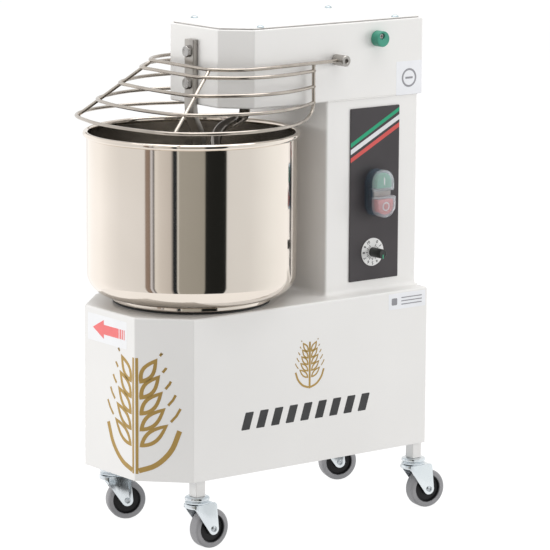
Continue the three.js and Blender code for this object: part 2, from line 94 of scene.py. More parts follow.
def seen_and_cast(tree, node, entry):
    """Feeds a node a strength that is SEEN by the camera and in mirrors, and CAST elsewhere."""
    ray = tree.nodes.new("ShaderNodeLightPath")
    either = tree.nodes.new("ShaderNodeMath")
    either.operation = "MAXIMUM"
    strength = tree.nodes.new("ShaderNodeMapRange")
    strength.inputs["To Min"].default_value = CAST
    strength.inputs["To Max"].default_value = SEEN
    wire(tree, (ray, "Is Camera Ray", either, 0), (ray, "Is Glossy Ray", either, 1),
         (either, 0, strength, "Value"), (strength, "Result", node, entry))


room_walls = room.node_tree.nodes["Background"]
room_walls.inputs["Color"].default_value = (1.0, 0.995, 0.985, 1)
seen_and_cast(room.node_tree, room_walls, "Strength")


def softbox(name, place, target, size, power):
    """A rectangular lamp at place that faces target."""
    lamp = bpy.data.lights.new(name, "AREA")
    lamp.shape = "RECTANGLE"
    lamp.size, lamp.size_y = size
    lamp.energy = power
    holder = show(name, lamp)
    holder.location = place
    aim = Vector(target) - Vector(place)
    holder.rotation_euler = aim.to_track_quat("-Z", "Y").to_euler()
    holder.visible_camera = False
    return holder


softbox("lamp_top", (0.0, 0.1, 2.4), (0, 0, 0.5), (2.2, 2.2), 34)
for name, place, power in (("lamp_left", (-1.2, -2.6, 0.6), 34),
                           ("lamp_right", (1.7, 2.0, 0.7), 25)):
    softbox(name, place, (0, 0, 0.2), (1.6, 1.1), power).visible_glossy = False

shaft_low, shaft_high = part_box("bowl_shaft")
BOWL_Y = (shaft_low.y + shaft_high.y) / 2

# Tones of the boards by compass angle in degrees. Two angles close together make an edge.
BOARD_STEPS = 120
BOARD_RADIUS, BOARD_TOP = 0.6, 0.8
BOARD_TONES = [
    (-90, (1.22, 1.22, 1.22)), (-54, (1.18, 1.18, 1.18)), (-36, (1.02, 1.02, 1.02)),
    (-22, (0.93, 0.93, 0.93)), (7.4, (0.88, 0.88, 0.88)),
    (7.6, (0.33, 0.26, 0.22)), (12.6, (0.33, 0.25, 0.20)),
    (12.8, (0.04, 0.04, 0.04)), (13.8, (0.04, 0.04, 0.04)),
    (14.0, (0.80, 0.80, 0.84)), (15.4, (0.80, 0.80, 0.84)),
    (15.6, (0.04, 0.04, 0.05)), (17.9, (0.14, 0.13, 0.12)),
    (18.2, (0.90, 0.88, 0.84)), (23.0, (0.76, 0.73, 0.70)), (35.0, (0.64, 0.61, 0.58)),
    (35.3, (0.02, 0.025, 0.03)), (39.9, (0.02, 0.025, 0.03)),
    (40.1, (0.85, 0.85, 0.82)), (41.1, (0.80, 0.80, 0.77)),
    (41.3, (0.43, 0.42, 0.38)), (66.1, (0.38, 0.37, 0.33)),
    (66.4, (0.018, 0.019, 0.018)), (88.0, (0.014, 0.015, 0.014)),
    (88.3, (0.82, 0.83, 0.83)), (113, (0.85, 0.86, 0.86)), (145, (1.06, 1.08, 1.08)),
    (172, (1.15, 1.15, 1.15)),
]


def boards():
    """Boards bent round the bowl's axis, standing on the floor. Their tones follow the compass
    angle, where 0 degrees is the front and 90 the side with the controls: a radial gradient's
    value there is the angle plus 90, over 360. Only shiny surfaces see them."""
    turn = np.radians(np.linspace(BOARD_TONES[0][0], BOARD_TONES[-1][0], BOARD_STEPS))
    x, y = BOARD_RADIUS * np.sin(turn), -BOARD_RADIUS * np.cos(turn)
    points = np.concatenate([np.stack([x, y, np.full(BOARD_STEPS, z)], -1)
                             for z in (0.0, BOARD_TOP)])
    mesh = bpy.data.meshes.new("boards")
    mesh.from_pydata(points.tolist(), [], [
        (i, i + 1, i + BOARD_STEPS + 1, i + BOARD_STEPS) for i in range(BOARD_STEPS - 1)])
    board = show("boards", mesh)
    board.location = (0, BOWL_Y, 0)
    skin, shader = new_material("board_tones")
    nodes = skin.node_tree.nodes
    shader.inputs["Base Color"].default_value = (0, 0, 0, 1)
    shader.inputs["Specular IOR Level"].default_value = 0.0
    shader.inputs["Emission Strength"].default_value = 1.0
    place = nodes.new("ShaderNodeTexCoord")
    compass = nodes.new("ShaderNodeTexGradient")
    compass.gradient_type = "RADIAL"
    tones = nodes.new("ShaderNodeValToRGB")
    stops = tones.color_ramp.elements
    stops.remove(stops[1])
    stops[0].position = 0
    for angle, tone in BOARD_TONES:
        stop = stops.new((angle + 90) / 360)
        stop.color = (*tone, 1)
    stops.remove(stops[0])
    wire(skin.node_tree, (place, "Object", compass, "Vector"), (compass, "Fac", tones, "Fac"),
         (tones, "Color", shader, "Emission Color"))
    mesh.materials.append(skin)
    board.visible_camera = board.visible_diffuse = board.visible_shadow = False


boards()

FLOOR = 9
floor_mesh = bpy.data.meshes.new("floor")
floor_mesh.from_pydata([(-FLOOR, -FLOOR, 0), (FLOOR, -FLOOR, 0), (FLOOR, FLOOR, 0),
                        (-FLOOR, FLOOR, 0)], [], [(0, 1, 2, 3)])
floor = show("floor", floor_mesh)
floor_paint, floor_shader = new_material("floor_paint")
floor_shader.inputs["Base Color"].default_value = (0.15, 0.15, 0.15, 1)
floor_shader.inputs["Roughness"].default_value = 0.9
floor_shader.inputs["Specular IOR Level"].default_value = 0.0
floor_shader.inputs["Emission Color"].default_value = (0.93, 0.93, 0.93, 1)
seen_and_cast(floor_paint.node_tree, floor_shader, "Emission Strength")
floor_mesh.materials.append(floor_paint)

# ---------------------------------------------------------------- base casing
# The base is a box of 2 mm steel sheet, folded and welded, with its two front corners cut off.
# It is open below, closed by a zinc-plated floor plate, and powder-coated white all over.
# Sizes here and below are in millimetres, with y counted back from the bowl's axis.
MM = 0.001


def span(node):
    """Lowest and highest corner of a CAD node, in millimetres with y from the bowl's axis."""
    corners = np.array([list(corner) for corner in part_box(node)])
    return (corners - (0, BOWL_Y, 0)) / MM


def flat(outline, height):
    """An outline in plan, carried at one height."""
    return np.column_stack([outline, np.full(len(outline), height)])


def unit(vectors):
    """Vectors in rows, each brought to length one."""
    return vectors / np.linalg.norm(vectors, axis=1, keepdims=True)


def loft(rings, wrap=False):
    """Skin over a stack of rings: point j of ring i joins point j + 1 and ring i + 1.
    With wrap the last ring joins the first; without it both ends get a flat face."""
    rings = np.asarray(rings, float)
    count, around = rings.shape[:2]
    i = np.arange(count if wrap else count - 1)[:, None]
    j = np.arange(around)[None, :]
    above, beside = (i + 1) % count, (j + 1) % around
    corners = (i * around + j, i * around + beside, above * around + beside, above * around + j)
    faces = np.stack(corners, -1).reshape(-1, 4).tolist()
    if not wrap:
        faces.append(list(range(around))[::-1])
        faces.append([(count - 1) * around + k for k in range(around)])
    return rings.reshape(-1, 3), faces


def outward(points, faces):
    """The faces, all turned round if the volume that they enclose comes out negative."""
    fans = [(f[0], f[k], f[k + 1]) for f in faces for k in range(1, len(f) - 1)]
    a, b, c = (points[np.array(fans)[:, k]] for k in range(3))
    volume = np.einsum("ij,ij->", a, np.cross(b, c))
    return [f[::-1] for f in faces] if volume < 0 else faces


def piece(name, body, slot, material, *shapes, replaces=(), crease=35, even=False):
    """One object made of closed shapes, each (points, faces) in millimetres, at its place.
    Sides that meet at more than crease degrees keep a sharp edge."""
    points, faces, start = [], [], 0
    for shape_points, shape_faces in shapes:
        turned_out = outward(shape_points, shape_faces)
        faces += [[start + k for k in face] for face in turned_out]
        points.append(shape_points)
        start += len(shape_points)
    mesh = bpy.data.meshes.new(name)
    in_metres = np.concatenate(points) * MM + (0, BOWL_Y, 0)
    mesh.from_pydata(in_metres.tolist(), [], faces)
    mesh.shade_smooth()
    mesh.set_sharp_from_angle(angle=math.radians(crease))
    mesh.materials.append(material)
    thing = show(name, mesh)
    if even:
        weights = thing.modifiers.new("flats_stay_flat", "WEIGHTED_NORMAL")
        weights.keep_sharp = True
    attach(thing, body)
    if replaces:
        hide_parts(*replaces)
    return thing


def inset(corners, depth):
    """The outline's corners moved in, so that every side lies depth further in."""
    corners = np.asarray(corners, float)
    ahead = unit(np.roll(corners, -1, 0) - corners)
    behind = np.roll(ahead, 1, 0)
    out_behind = np.stack([behind[:, 1], -behind[:, 0]], -1)
    out_ahead = np.stack([ahead[:, 1], -ahead[:, 0]], -1)
    halfway = unit(out_behind + out_ahead)
    cosine = (halfway * out_behind).sum(1, keepdims=True)
    return corners - halfway * depth / cosine


def rounded(corners, radius, steps=4):
    """The outline with each corner an arc. Its centre is radius in from both sides, and its
    points sweep from one side's outward normal to the next one's. Corners run anticlockwise."""
    corners = np.asarray(corners, float)
    ahead = unit(np.roll(corners, -1, 0) - corners)
    behind = np.roll(ahead, 1, 0)
    start = np.arctan2(-behind[:, 0], behind[:, 1])
    end = np.arctan2(-ahead[:, 0], ahead[:, 1])
    sweep = (end - start + math.pi) % (2 * math.pi) - math.pi
    signed = radius * np.sign(sweep)
    halfway = start + sweep / 2
    bisector = np.stack([np.cos(halfway), np.sin(halfway)], -1)
    centre = corners - bisector * (signed / np.cos(sweep / 2))[:, None]
    angle = start[:, None] + sweep[:, None] * np.linspace(0, 1, steps + 1)
    outwards = np.stack([np.cos(angle), np.sin(angle)], -1)
    return (centre[:, None] + signed[:, None, None] * outwards).reshape(-1, 2)


def casing_corners(low, high, chamfer):
    """Six corners of a box in plan, with both front corners cut off at 45 degrees."""
    (left, front), (right, rear) = low[:2], high[:2]
    return np.array([
        (left + chamfer, front), (right - chamfer, front), (right, front + chamfer),
        (right, rear), (left, rear), (left, front + chamfer),
    ])


LEAST_RADIUS = 0.4
BEND_STEPS = 4


def sheet_shell(corners, stations, fold, wall, covered=False):
    """A closed skin of sheet: each station is (depth in, height) on the outer face, followed in
    the given order. The inner face is the same list walked back, one wall further in. When
    covered, the last station's outline is filled in on both faces."""
    rings = []
    for depth, height, lift in [(d, h, 0) for d, h in stations] + [
        (d + wall, h, wall) for d, h in stations[::-1]
    ]:
        outline = rounded(inset(corners, depth), max(fold - depth, LEAST_RADIUS))
        level = height - lift * np.sign(height - stations[0][1])
        rings.append(flat(outline, level))
    if covered:
        return loft(rings[len(stations):] + rings[:len(stations)])
    return loft(rings, wrap=True)


def bend(depth, height, radius, up):
    """Stations of a quarter bend: from a wall depth in, turning inwards at height."""
    angle = np.linspace(0, math.pi / 2, BEND_STEPS + 1)
    side = 1 if up else -1
    heights = height - side * radius * (1 - np.sin(angle))
    return list(zip(depth + radius * (1 - np.cos(angle)), heights))


def start_group(name, inputs, outputs):
    """A shader node group with number inputs and outputs, and its two end nodes."""
    tree = bpy.data.node_groups.new(name, "ShaderNodeTree")
    for label, value in inputs.items():
        entry = tree.interface.new_socket(
            name=label, in_out="INPUT", socket_type="NodeSocketFloat")
        entry.default_value = value
    for label in outputs:
        tree.interface.new_socket(name=label, in_out="OUTPUT", socket_type="NodeSocketFloat")
    return tree, tree.nodes.new("NodeGroupInput"), tree.nodes.new("NodeGroupOutput")


# Handling marks: soft clouds over the piece, and a fine speckle, both from its own place.
clouds, clouds_in, clouds_out = start_group(
    "clouds", {"Scale": 20.0, "Fine Scale": 400.0, "Low": 0.3, "High": 0.5}, ["Cloud", "Rough"])
place = clouds.nodes.new("ShaderNodeTexCoord")
broad = clouds.nodes.new("ShaderNodeTexNoise")
broad.inputs["Detail"].default_value = 3.0
fine = clouds.nodes.new("ShaderNodeTexNoise")
fine.inputs["Detail"].default_value = 2.0
both = clouds.nodes.new("ShaderNodeMath")
both.operation = "MULTIPLY_ADD"
both.inputs[1].default_value = 0.35
spread = clouds.nodes.new("ShaderNodeMapRange")
spread.inputs["From Min"].default_value = 0.35
spread.inputs["From Max"].default_value = 1.0
wire(clouds, (place, "Object", broad, "Vector"), (place, "Object", fine, "Vector"),
     (clouds_in, "Scale", broad, "Scale"), (clouds_in, "Fine Scale", fine, "Scale"),
     (fine, "Fac", both, 0), (broad, "Fac", both, 2), (both, 0, spread, "Value"),
     (clouds_in, "Low", spread, "To Min"), (clouds_in, "High", spread, "To Max"),
     (broad, "Fac", clouds_out, "Cloud"), (spread, "Result", clouds_out, "Rough"))

# Surface grain: noise drawn out along an axis, as by a brush, a lathe or a casting's skin.
grain, grain_in, grain_out = start_group(
    "grain", {"Along X": 300.0, "Along Y": 300.0, "Along Z": 300.0}, ["Height"])
grain_place = grain.nodes.new("ShaderNodeTexCoord")
grain_scale = grain.nodes.new("ShaderNodeCombineXYZ")
drawn_out = grain.nodes.new("ShaderNodeVectorMath")
drawn_out.operation = "MULTIPLY"
grain_noise = grain.nodes.new("ShaderNodeTexNoise")
grain_noise.inputs["Scale"].default_value = 1.0
grain_noise.inputs["Detail"].default_value = 2.0
wire(grain, *[(grain_in, f"Along {axis}", grain_scale, axis) for axis in "XYZ"],
     (grain_place, "Object", drawn_out, 0), (grain_scale, 0, drawn_out, 1),
     (drawn_out, 0, grain_noise, "Vector"), (grain_noise, "Fac", grain_out, "Height"))


def add_clouds(material, shader, scale, rough):
    """Puts the clouds in a material, where they move its roughness between two values."""
    marks = material.node_tree.nodes.new("ShaderNodeGroup")
    marks.node_tree = clouds
    marks.inputs["Scale"].default_value = scale
    marks.inputs["Low"].default_value, marks.inputs["High"].default_value = rough
    wire(material.node_tree, (marks, "Rough", shader, "Roughness"))
    return marks


def finish(name, light, dark, rough, cloud, along=300, relief=0.0, **plain):
    """A finish of two close tones mixed by clouds, with a roughness that wanders between two
    values and a grained relief in metres. along is the grain's fineness on every axis or on
    each, and plain gives the shader's even values by name."""
    material, shader = new_material(name)
    nodes = material.node_tree.nodes
    marks = add_clouds(material, shader, cloud, rough)
    tones = nodes.new("ShaderNodeValToRGB")
    tones.color_ramp.elements[0].position = 0.35
    tones.color_ramp.elements[1].position = 0.65
    tones.color_ramp.elements[0].color = (*dark, 1)
    tones.color_ramp.elements[1].color = (*light, 1)
    wire(material.node_tree, (marks, "Cloud", tones, "Fac"),
         (tones, "Color", shader, "Base Color"))
    if relief:
        lines = nodes.new("ShaderNodeGroup")
        lines.node_tree = grain
        for axis, value in zip("XYZ", np.broadcast_to(along, 3).tolist()):
            lines.inputs[f"Along {axis}"].default_value = value
        bump = nodes.new("ShaderNodeBump")
        bump.inputs["Distance"].default_value = relief
        wire(material.node_tree, (lines, "Height", bump, "Height"),
             (bump, "Normal", shader, "Normal"))
    for label, value in plain.items():
        shader.inputs[label.replace("_", " ")].default_value = value
    return material


def dress(material, *nodes):
    """Gives carried-over CAD nodes their finish."""
    for node in nodes:
        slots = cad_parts[node].data.materials
        slots.clear()
        slots.append(material)


powder_coat = finish("powder_coat", (0.81, 0.80, 0.785), (0.795, 0.785, 0.77), (0.34, 0.44),
                     9.0, 700, 0.00004, Coat_Weight=0.15)

WALL = 2
FOLD = 2.6
BASE_CHAMFER = 52
TOP_SHEET = 70
base_low, base_high = span("base_housing")
base_corners = casing_corners(base_low, base_high, BASE_CHAMFER)
base_top = base_high[2]
base_stations = [(0, base_low[2])] + bend(0, base_top, FOLD, True) + [(TOP_SHEET, base_top)]
piece("base_casing", "housing", "white_paint", powder_coat,
      sheet_shell(base_corners, base_stations, FOLD, WALL, covered=True),
      replaces=["base_housing"], even=True)

zinc_plate = finish("zinc_plate", (0.74, 0.78, 0.80), (0.66, 0.70, 0.73), (0.12, 0.20), 24.0,
                    120, 0.00001, Metallic=1.0)
dress(zinc_plate, "base_floor_plate")

# ---------------------------------------------------------------- column casing
# The column is a square sheet tube that stands on the base. A screwed cover closes its back,
# and a bead of weld filler, painted over, runs round its foot.
column_low, column_high = span("column_housing")


def box_corners(low, high):
    """Four corners of a box in plan, anticlockwise."""
    return np.array([(low[0], low[1]), (high[0], low[1]), (high[0], high[1]), (low[0], high[1])])


column_corners = box_corners(column_low, column_high)
TUCKED_IN = 2.2
column_top = span("head_housing")[0][2] + TUCKED_IN
FILLET = [(-5, 0), (-3.2, 0.5), (-1.6, 1.6), (-0.5, 3.2), (0, 5), (1, 5), (1, 0)]


def fillet(corners, at, size):
    """A bead of filler round a tube: a hollow quarter round of FILLET's shape, size times as
    big, standing on the sheet at height at or, with a negative size, hanging under it."""
    rings = []
    for depth, height in FILLET:
        depth *= abs(size)
        outline = rounded(inset(corners, depth), FOLD - depth + 0.2)
        rings.append(flat(outline, at + height * size))
    return loft(rings, wrap=True)


piece("column_casing", "housing", "white_paint", powder_coat,
      sheet_shell(column_corners, [(0, base_top - 0.3), (0, column_top)], FOLD, WALL),
      fillet(column_corners, base_top, 1), fillet(column_corners, column_top - 2, -0.3),
      replaces=["column_housing"], even=True)


def plate(corners, low, high, radius, edge=0.5, steps=3):
    """A flat plate: its outline with corners of radius, and both rims eased by quarter arcs."""
    angle = np.linspace(0, math.pi / 2, steps + 1)
    depth = edge * (1 - np.sin(angle))
    rise = edge * (1 - np.cos(angle))
    stations = [(d, low + r) for d, r in zip(depth, rise)]
    stations += [(d, high - r) for d, r in zip(depth[::-1], rise[::-1])]
    return loft([flat(rounded(inset(corners, d), max(radius - d, 0.02)), height)
                 for d, height in stations])


# Three ways to stand a shape that was made flat, as (across, up, out) of its plane.
ON_SIDE = ((0, 1, 0), (0, 0, 1), (1, 0, 0))
ON_FRONT = ((1, 0, 0), (0, 0, 1), (0, -1, 0))
ON_BACK = ((-1, 0, 0), (0, 0, 1), (0, 1, 0))


def stand(shape, plane, at=(0, 0, 0)):
    """Stands a flat shape on a plane: its x, y and z run along the plane's three directions."""
    points, faces = shape
    return points @ np.array(plane, float) + at, faces


def rectangle(across, up, width, height):
    """Four corners of a rectangle about its middle."""
    return box_corners((across - width / 2, up - height / 2), (across + width / 2, up + height / 2))


def circle(radius, angle, height, centre=(0, 0)):
    """Points at the angles on a circle at one height, or with one radius for each angle."""
    return flat(np.stack([centre[0] + radius * np.cos(angle),
                          centre[1] + radius * np.sin(angle)], -1), height)


def full_turn(steps):
    """Evenly spaced angles round a circle."""
    return np.linspace(0, 2 * math.pi, steps, endpoint=False)


# Radius at which the profile of a solid stops short of its axis.
CORE = 0.05


def revolved(profile, steps, wrap=False, centre=(0, 0)):
    """A profile of (radius, height) turned about the third axis. With wrap it is a closed
    section that doesn't reach the axis; without it both ends close on flat discs."""
    return loft([circle(radius, full_turn(steps), height, centre) for radius, height in profile],
                wrap)


def dome_screw(radius, height):
    """A button-head screw: a low dome, with a round socket sunk into its crown."""
    rim = [(radius * 0.99, 0), (radius, height * 0.2)]
    crown = [(radius * math.cos(a), height * (0.2 + 0.8 * math.sin(a)))
             for a in np.linspace(0.35, 1.02, 4)]
    return revolved(rim + crown + [(radius * 0.45, height), (radius * 0.42, height * 0.35)], 20)


def placed(shape, x, y, z):
    """A shape moved by x, y and z."""
    points, faces = shape
    return points + (x, y, z), faces


cover_low, cover_high = span("rear_cover")
cover_middle = (cover_low[2] + cover_high[2]) / 2
cover_size = (cover_high[0] - cover_low[0], cover_high[2] - cover_low[2])
cover_at = (0, cover_low[1], 0)
COVER_SHEET = 1.5
cover = plate(rectangle(0, cover_middle, *cover_size), 0, COVER_SHEET, 6, 0.5)
piece("rear_cover_plate", "housing", "white_paint", powder_coat,
      stand(cover, ON_BACK, cover_at), replaces=["rear_cover"], even=True)
bright_screw = finish("bright_screw", (0.72, 0.74, 0.76), (0.55, 0.57, 0.60), (0.18, 0.32),
                      150.0, Metallic=1.0)
piece("rear_cover_screws", "housing", "zinc_plate", bright_screw,
      *[stand(placed(dome_screw(3.6, 1.9), across, up, COVER_SHEET), ON_BACK, cover_at)
        for across in (-61, 61) for up in (318, cover_middle, 518)])

# ---------------------------------------------------------------- head casing and lid
# The head is folded like the base, and holds the spiral's bearings and the upper chain.
# A flat lid lies on its turned-in flange, held by four low-headed screws.
HEAD_CHAMFER = 32.5
head_low, head_high = span("head_housing")
head_corners = casing_corners(head_low, head_high, HEAD_CHAMFER)
head_stations = (
    [(60, head_low[2])] + bend(0, head_low[2], FOLD, False)[::-1]
    + bend(0, head_high[2], 1.6, True) + [(14, head_high[2])])


def head_shell():
    """A skin of sheet with a floor below and a flange above: the outer face's stations, then
    the inner ones, each moved one wall towards the inside."""
    middle = (head_low[2] + head_high[2]) / 2
    inner = [(d if d > 10 else d + WALL, h + WALL * np.sign(middle - h))
             for d, h in head_stations[::-1]]
    return loft([flat(rounded(inset(head_corners, d), max(FOLD - d, LEAST_RADIUS)), height)
                 for d, height in head_stations + inner])


piece("head_casing", "housing", "white_paint", powder_coat, head_shell(),
      replaces=["head_housing"], even=True)
lid_low, lid_high = span("head_lid")
lid_inset = lid_low[0] - head_low[0]
piece("head_lid_plate", "housing", "white_paint", powder_coat,
      plate(inset(head_corners, lid_inset), lid_low[2] + 0.9, lid_high[2], 2.2, 0.4),
      replaces=["head_lid"], even=True)
# Under the lid's edge a thin grey band, shaped like a seal, gives the dark line of the shaded gap
# between lid and head: painted shade.
lid_gap_painted_shade = finish("lid_gap_painted_shade", (0.42, 0.40, 0.39), (0.34, 0.32, 0.31), (0.5, 0.65), 60.0,
                   500, 0.00003)
piece("head_lid_gap_shade", "housing", "seat_rubber", lid_gap_painted_shade,
      plate(inset(head_corners, lid_inset + 0.5), head_high[2] - 0.2, lid_low[2] + 1.1, 1.8, 0.1))
LID_SCREWS = ((-63, 50), (74.5, 50), (-63, 266), (73, 266))
blue_zinc = finish("blue_zinc", (0.52, 0.60, 0.64), (0.42, 0.50, 0.54), (0.32, 0.44), 150.0,
                   Metallic=1.0)
piece("lid_screws", "housing", "zinc_plate", blue_zinc,
      *[placed(dome_screw(4.8, 2.5), across, back, lid_high[2] - 0.05)
        for across, back in LID_SCREWS])
pin = [(CORE, 530.5), (2.7, 530.5), (3.3, 531.2), (3.3, 542.4), (CORE, 542.4)]
dark_steel = finish("dark_steel", (0.20, 0.18, 0.17), (0.12, 0.11, 0.10), (0.35, 0.5), 120.0,
                    400, 0.00004, Metallic=1.0)
piece("head_bolt_end", "housing", "zinc_plate", dark_steel, revolved(pin, 20, centre=(0, 119)))

# ---------------------------------------------------------------- legs
# Four short square tubes are welded under the base, and painted with it.
for corner in ("front_right", "front_left", "rear_right", "rear_left"):
    leg_low, leg_high = span(f"leg_{corner}")
    tube_corners = box_corners(leg_low, leg_high)
    piece(f"leg_tube_{corner}", "housing", "white_paint", powder_coat,
          sheet_shell(tube_corners, [(0, leg_low[2]), (0, leg_high[2])], 1.6, 1.5),
          replaces=[f"leg_{corner}"], even=True)

# ---------------------------------------------------------------- casters
# Each caster is a pressed and zinc-plated fork that swivels under a ball race, with a black
# plastic wheel in it that wears a grey rubber tread, on a riveted axle.
TRAIL = 18
AXLE_UP = 25
rubber = finish("grey_rubber", (0.315, 0.31, 0.32), (0.26, 0.26, 0.27), (0.45, 0.62),
                45.0, 500, 0.00005)
hub_plastic = finish("hub_plastic", (0.010, 0.010, 0.011), (0.006, 0.006, 0.007),
                     (0.38, 0.5), 60.0, 600, 0.00003, Specular_IOR_Level=0.25)


def arc(centre, radius, start, end, steps):
    """Points on an arc, from one angle to the other in degrees."""
    angle = np.radians(np.linspace(start, end, steps + 1))
    return [tuple(point[:2]) for point in circle(radius, angle, 0, centre)]


# Sections turned about their axis, as (radius, height): the tread's and the hub's heights
# count from the wheel's middle, the races' and the stem's from the floor, and the rivet's
# from the fork's middle.
TREAD = [(17.6, -7.0), (18.6, -8.2), (22.0, -8.0)] + arc((22.2, -5.2), 2.8, -85, 0, 5) + \
    arc((22.2, 5.2), 2.8, 0, 85, 5) + [(22.0, 8.0), (18.6, 8.2), (17.6, 7.0)]
HUB = [(4.6, -8.5), (7.6, -8.5), (8.2, -7.9), (8.6, -5.6), (16.2, -5.2), (16.8, -7.2),
       (17.9, -7.6), (17.9, 7.6), (16.8, 7.2), (16.2, 5.2), (8.6, 5.6), (8.2, 7.9),
       (7.6, 8.5), (4.6, 8.5)]
UPPER_RACE = [(5.5, 67.7), (13.2, 67.7), (15.0, 67.0), (15.5, 65.8), (15.4, 64.0),
              (14.0, 63.4), (13.2, 62.4), (13.2, 61.2), (5.5, 61.2)]
LOWER_RACE = [(5.5, 61.6), (14.2, 61.6), (15.5, 61.0), (15.5, 60.2), (14.4, 59.4), (5.5, 57.6)]
STEM = [(CORE, 56.6), (6.2, 56.6), (6.8, 57.2), (5.2, 60.0), (5.2, 83.4), (4.6, 84.0),
        (CORE, 84.0)]
RIVET = [(CORE, 12.2), (1.7, 12.0), (2.0, 12.9), (3.0, 13.2), (3.7, 12.4), (3.8, 10.8),
         (CORE, 10.8)]
axle_steel = finish("axle_steel", (0.50, 0.53, 0.55), (0.36, 0.38, 0.40), (0.2, 0.32), 150.0,
                    300, 0.00003, Metallic=1.0)

# Plan of the fork's sheet on its right half, as (out, back), from the cheek's end to the front.
FORK_PLAN = [(11, 25.39), (11, 25.2), (11, 24.7), (11, 23.8), (11, 22.4), (11, 20.4), (11, 18),
             (11, 15.5), (11, 13.6), (11, 12), (11, 9), (11, 4), (11.3, -1), (12.2, -5.5),
             (12.6, -9), (11.4, -12.2), (8.6, -14.2), (4.6, -15.4), (0, -15.8)]
CHEEK_END = 7.4


def fork_shell():
    """The pressed fork as one sheet bent to a U in plan. Its lower edge runs aslant down to a
    round end about the axle, and its upper edge turns in over the crown and falls at the back."""
    half = np.array(FORK_PLAN)
    plan = np.concatenate([half, half[-2::-1] * (-1, 1)])
    y = plan[:, 1]
    ahead = unit(np.gradient(plan, axis=0))
    inwards = np.stack([ahead[:, 1], -ahead[:, 0]], -1)
    reach = np.clip(np.abs(y - TRAIL) / CHEEK_END, 0, 1)
    low = np.where(y > 11.95, AXLE_UP - CHEEK_END * np.sqrt(1 - reach ** 2), 37.7 - 1.42 * y)
    low = np.minimum(low, 53.8)
    high = np.minimum(58.6, 57 - (y - 22.4) * 10.2)
    high = np.maximum(high, low + 1.7)
    section = [(0, low), (0, high - 1.6), (0.47, high - 0.47), (1.6, high),
               (1.6, np.maximum(high - 1.4, low)), (1.5, low)]
    rings = np.stack([np.column_stack([plan + inwards * depth, height])
                      for depth, height in section], 1)
    return loft(rings)


def fork_crown():
    """The flat top of the fork, drawn inside the bent sheet's plan as far as its back edge."""
    half = np.array([corner for corner in FORK_PLAN if corner[1] < 21]) * (0.9, 0.93)
    outline = np.concatenate([half, half[-2::-1] * (-1, 1)])
    return loft([flat(outline, height) for height in (57.0, 58.6)])


def swung(shape, degrees, at):
    """A shape turned about the upright axis and moved to its place."""
    points, faces = shape
    c, s = math.cos(math.radians(degrees)), math.sin(math.radians(degrees))
    return points @ np.array([(c, s, 0), (-s, c, 0), (0, 0, 1)]) + (*at, 0), faces


CASTERS = {"front_right": 0.0, "front_left": -21.7, "rear_right": -8.3, "rear_left": -19.3}
for corner, lean in CASTERS.items():
    leg_low, leg_high = span(f"leg_{corner}")
    at = (leg_low + leg_high)[:2] / 2
    fork_parts = [fork_shell(), fork_crown(), revolved(UPPER_RACE, 40, True),
                  revolved(LOWER_RACE, 40, True), revolved(STEM, 20)]

    def on_axle(shape):
        """A shape turned about the wheel's axle, at its place under this leg."""
        return swung(stand(shape, ON_SIDE, (0, TRAIL, AXLE_UP)), lean, at)

    piece(f"caster_axle_{corner}", f"fork_{corner}", "zinc_plate", axle_steel,
          on_axle(revolved([(2.6, -11), (2.6, 11)], 12)),
          *[on_axle(revolved([(r, way * h) for r, h in RIVET], 20)) for way in (1, -1)])
    piece(f"caster_fork_pressed_{corner}", f"fork_{corner}", "zinc_plate", zinc_plate,
          *[swung(part, lean, at) for part in fork_parts],
          replaces=[f"caster_fork_{corner}"])
    piece(f"caster_tread_{corner}", f"wheel_{corner}", "grey_tread", rubber,
          on_axle(revolved(TREAD, 56, True)), replaces=[f"caster_wheel_{corner}"])
    piece(f"caster_hub_{corner}", f"wheel_{corner}", "black_plastic", hub_plastic,
          on_axle(revolved(HUB, 40, True)))

# ---------------------------------------------------------------- bowl
# The bowl is spun from 1.5 mm stainless sheet with a rolled rim, and mirror-polished outside.
# It is fixed to a round carrier, which turns just above a black ring on the base.
BOWL_WALL = 1.5
BOWL_CORNER = 28
RIM_ROLL = 3.5
BOWL_SIDES = 144
bowl_low, bowl_high = span("bowl")
bowl_bottom = bowl_low[2]
rim_up = bowl_high[2] - RIM_ROLL
bowl_radius = bowl_high[0] - RIM_ROLL - 0.7
corner_at = (bowl_radius - BOWL_CORNER, bowl_bottom + BOWL_CORNER)
bowl_profile = (
    [(CORE, bowl_bottom), (60, bowl_bottom)]
    + arc(corner_at, BOWL_CORNER, -90, 0, 14)
    + [(bowl_radius, rim_up - 60), (bowl_radius, rim_up - RIM_ROLL - 0.8)]
    + arc((bowl_radius + 0.7, rim_up), RIM_ROLL, -62, 152, 14)
    + [(bowl_radius - BOWL_WALL, rim_up - RIM_ROLL), (bowl_radius - BOWL_WALL, rim_up - 60)]
    + arc(corner_at, BOWL_CORNER - BOWL_WALL, 0, -90, 14)
    + [(60, bowl_bottom + BOWL_WALL), (CORE, bowl_bottom + BOWL_WALL)])
mirror_steel = finish("mirror_steel", (0.81, 0.738, 0.665), (0.75, 0.68, 0.605),
                      (0.05, 0.085), 5.0, (6, 6, 420), 0.0000016, Metallic=1.0)
bowl_spun = piece("bowl_spun", "bowl", "polished_stainless", mirror_steel,
                  revolved(bowl_profile, BOWL_SIDES), replaces=["bowl"], crease=50)
satin_steel = finish("satin_steel", (0.76, 0.73, 0.69), (0.58, 0.55, 0.51), (0.21, 0.29), 9.0,
                     (60, 60, 1400), 0.000006, Metallic=1.0)
bowl_spun.data.materials.append(satin_steel)
# The inside starts after the profile's points on the bottom, the corner, the wall and the rim.
# The last two faces are the two that close the bottom, the outer one first.
INSIDE_FROM = 2 + 15 + 2 + 15
inside = [k >= INSIDE_FROM * BOWL_SIDES for k in range(len(bowl_spun.data.polygons))]
inside[-2] = False
bowl_spun.data.polygons.foreach_set("material_index", np.array(inside, np.int32))

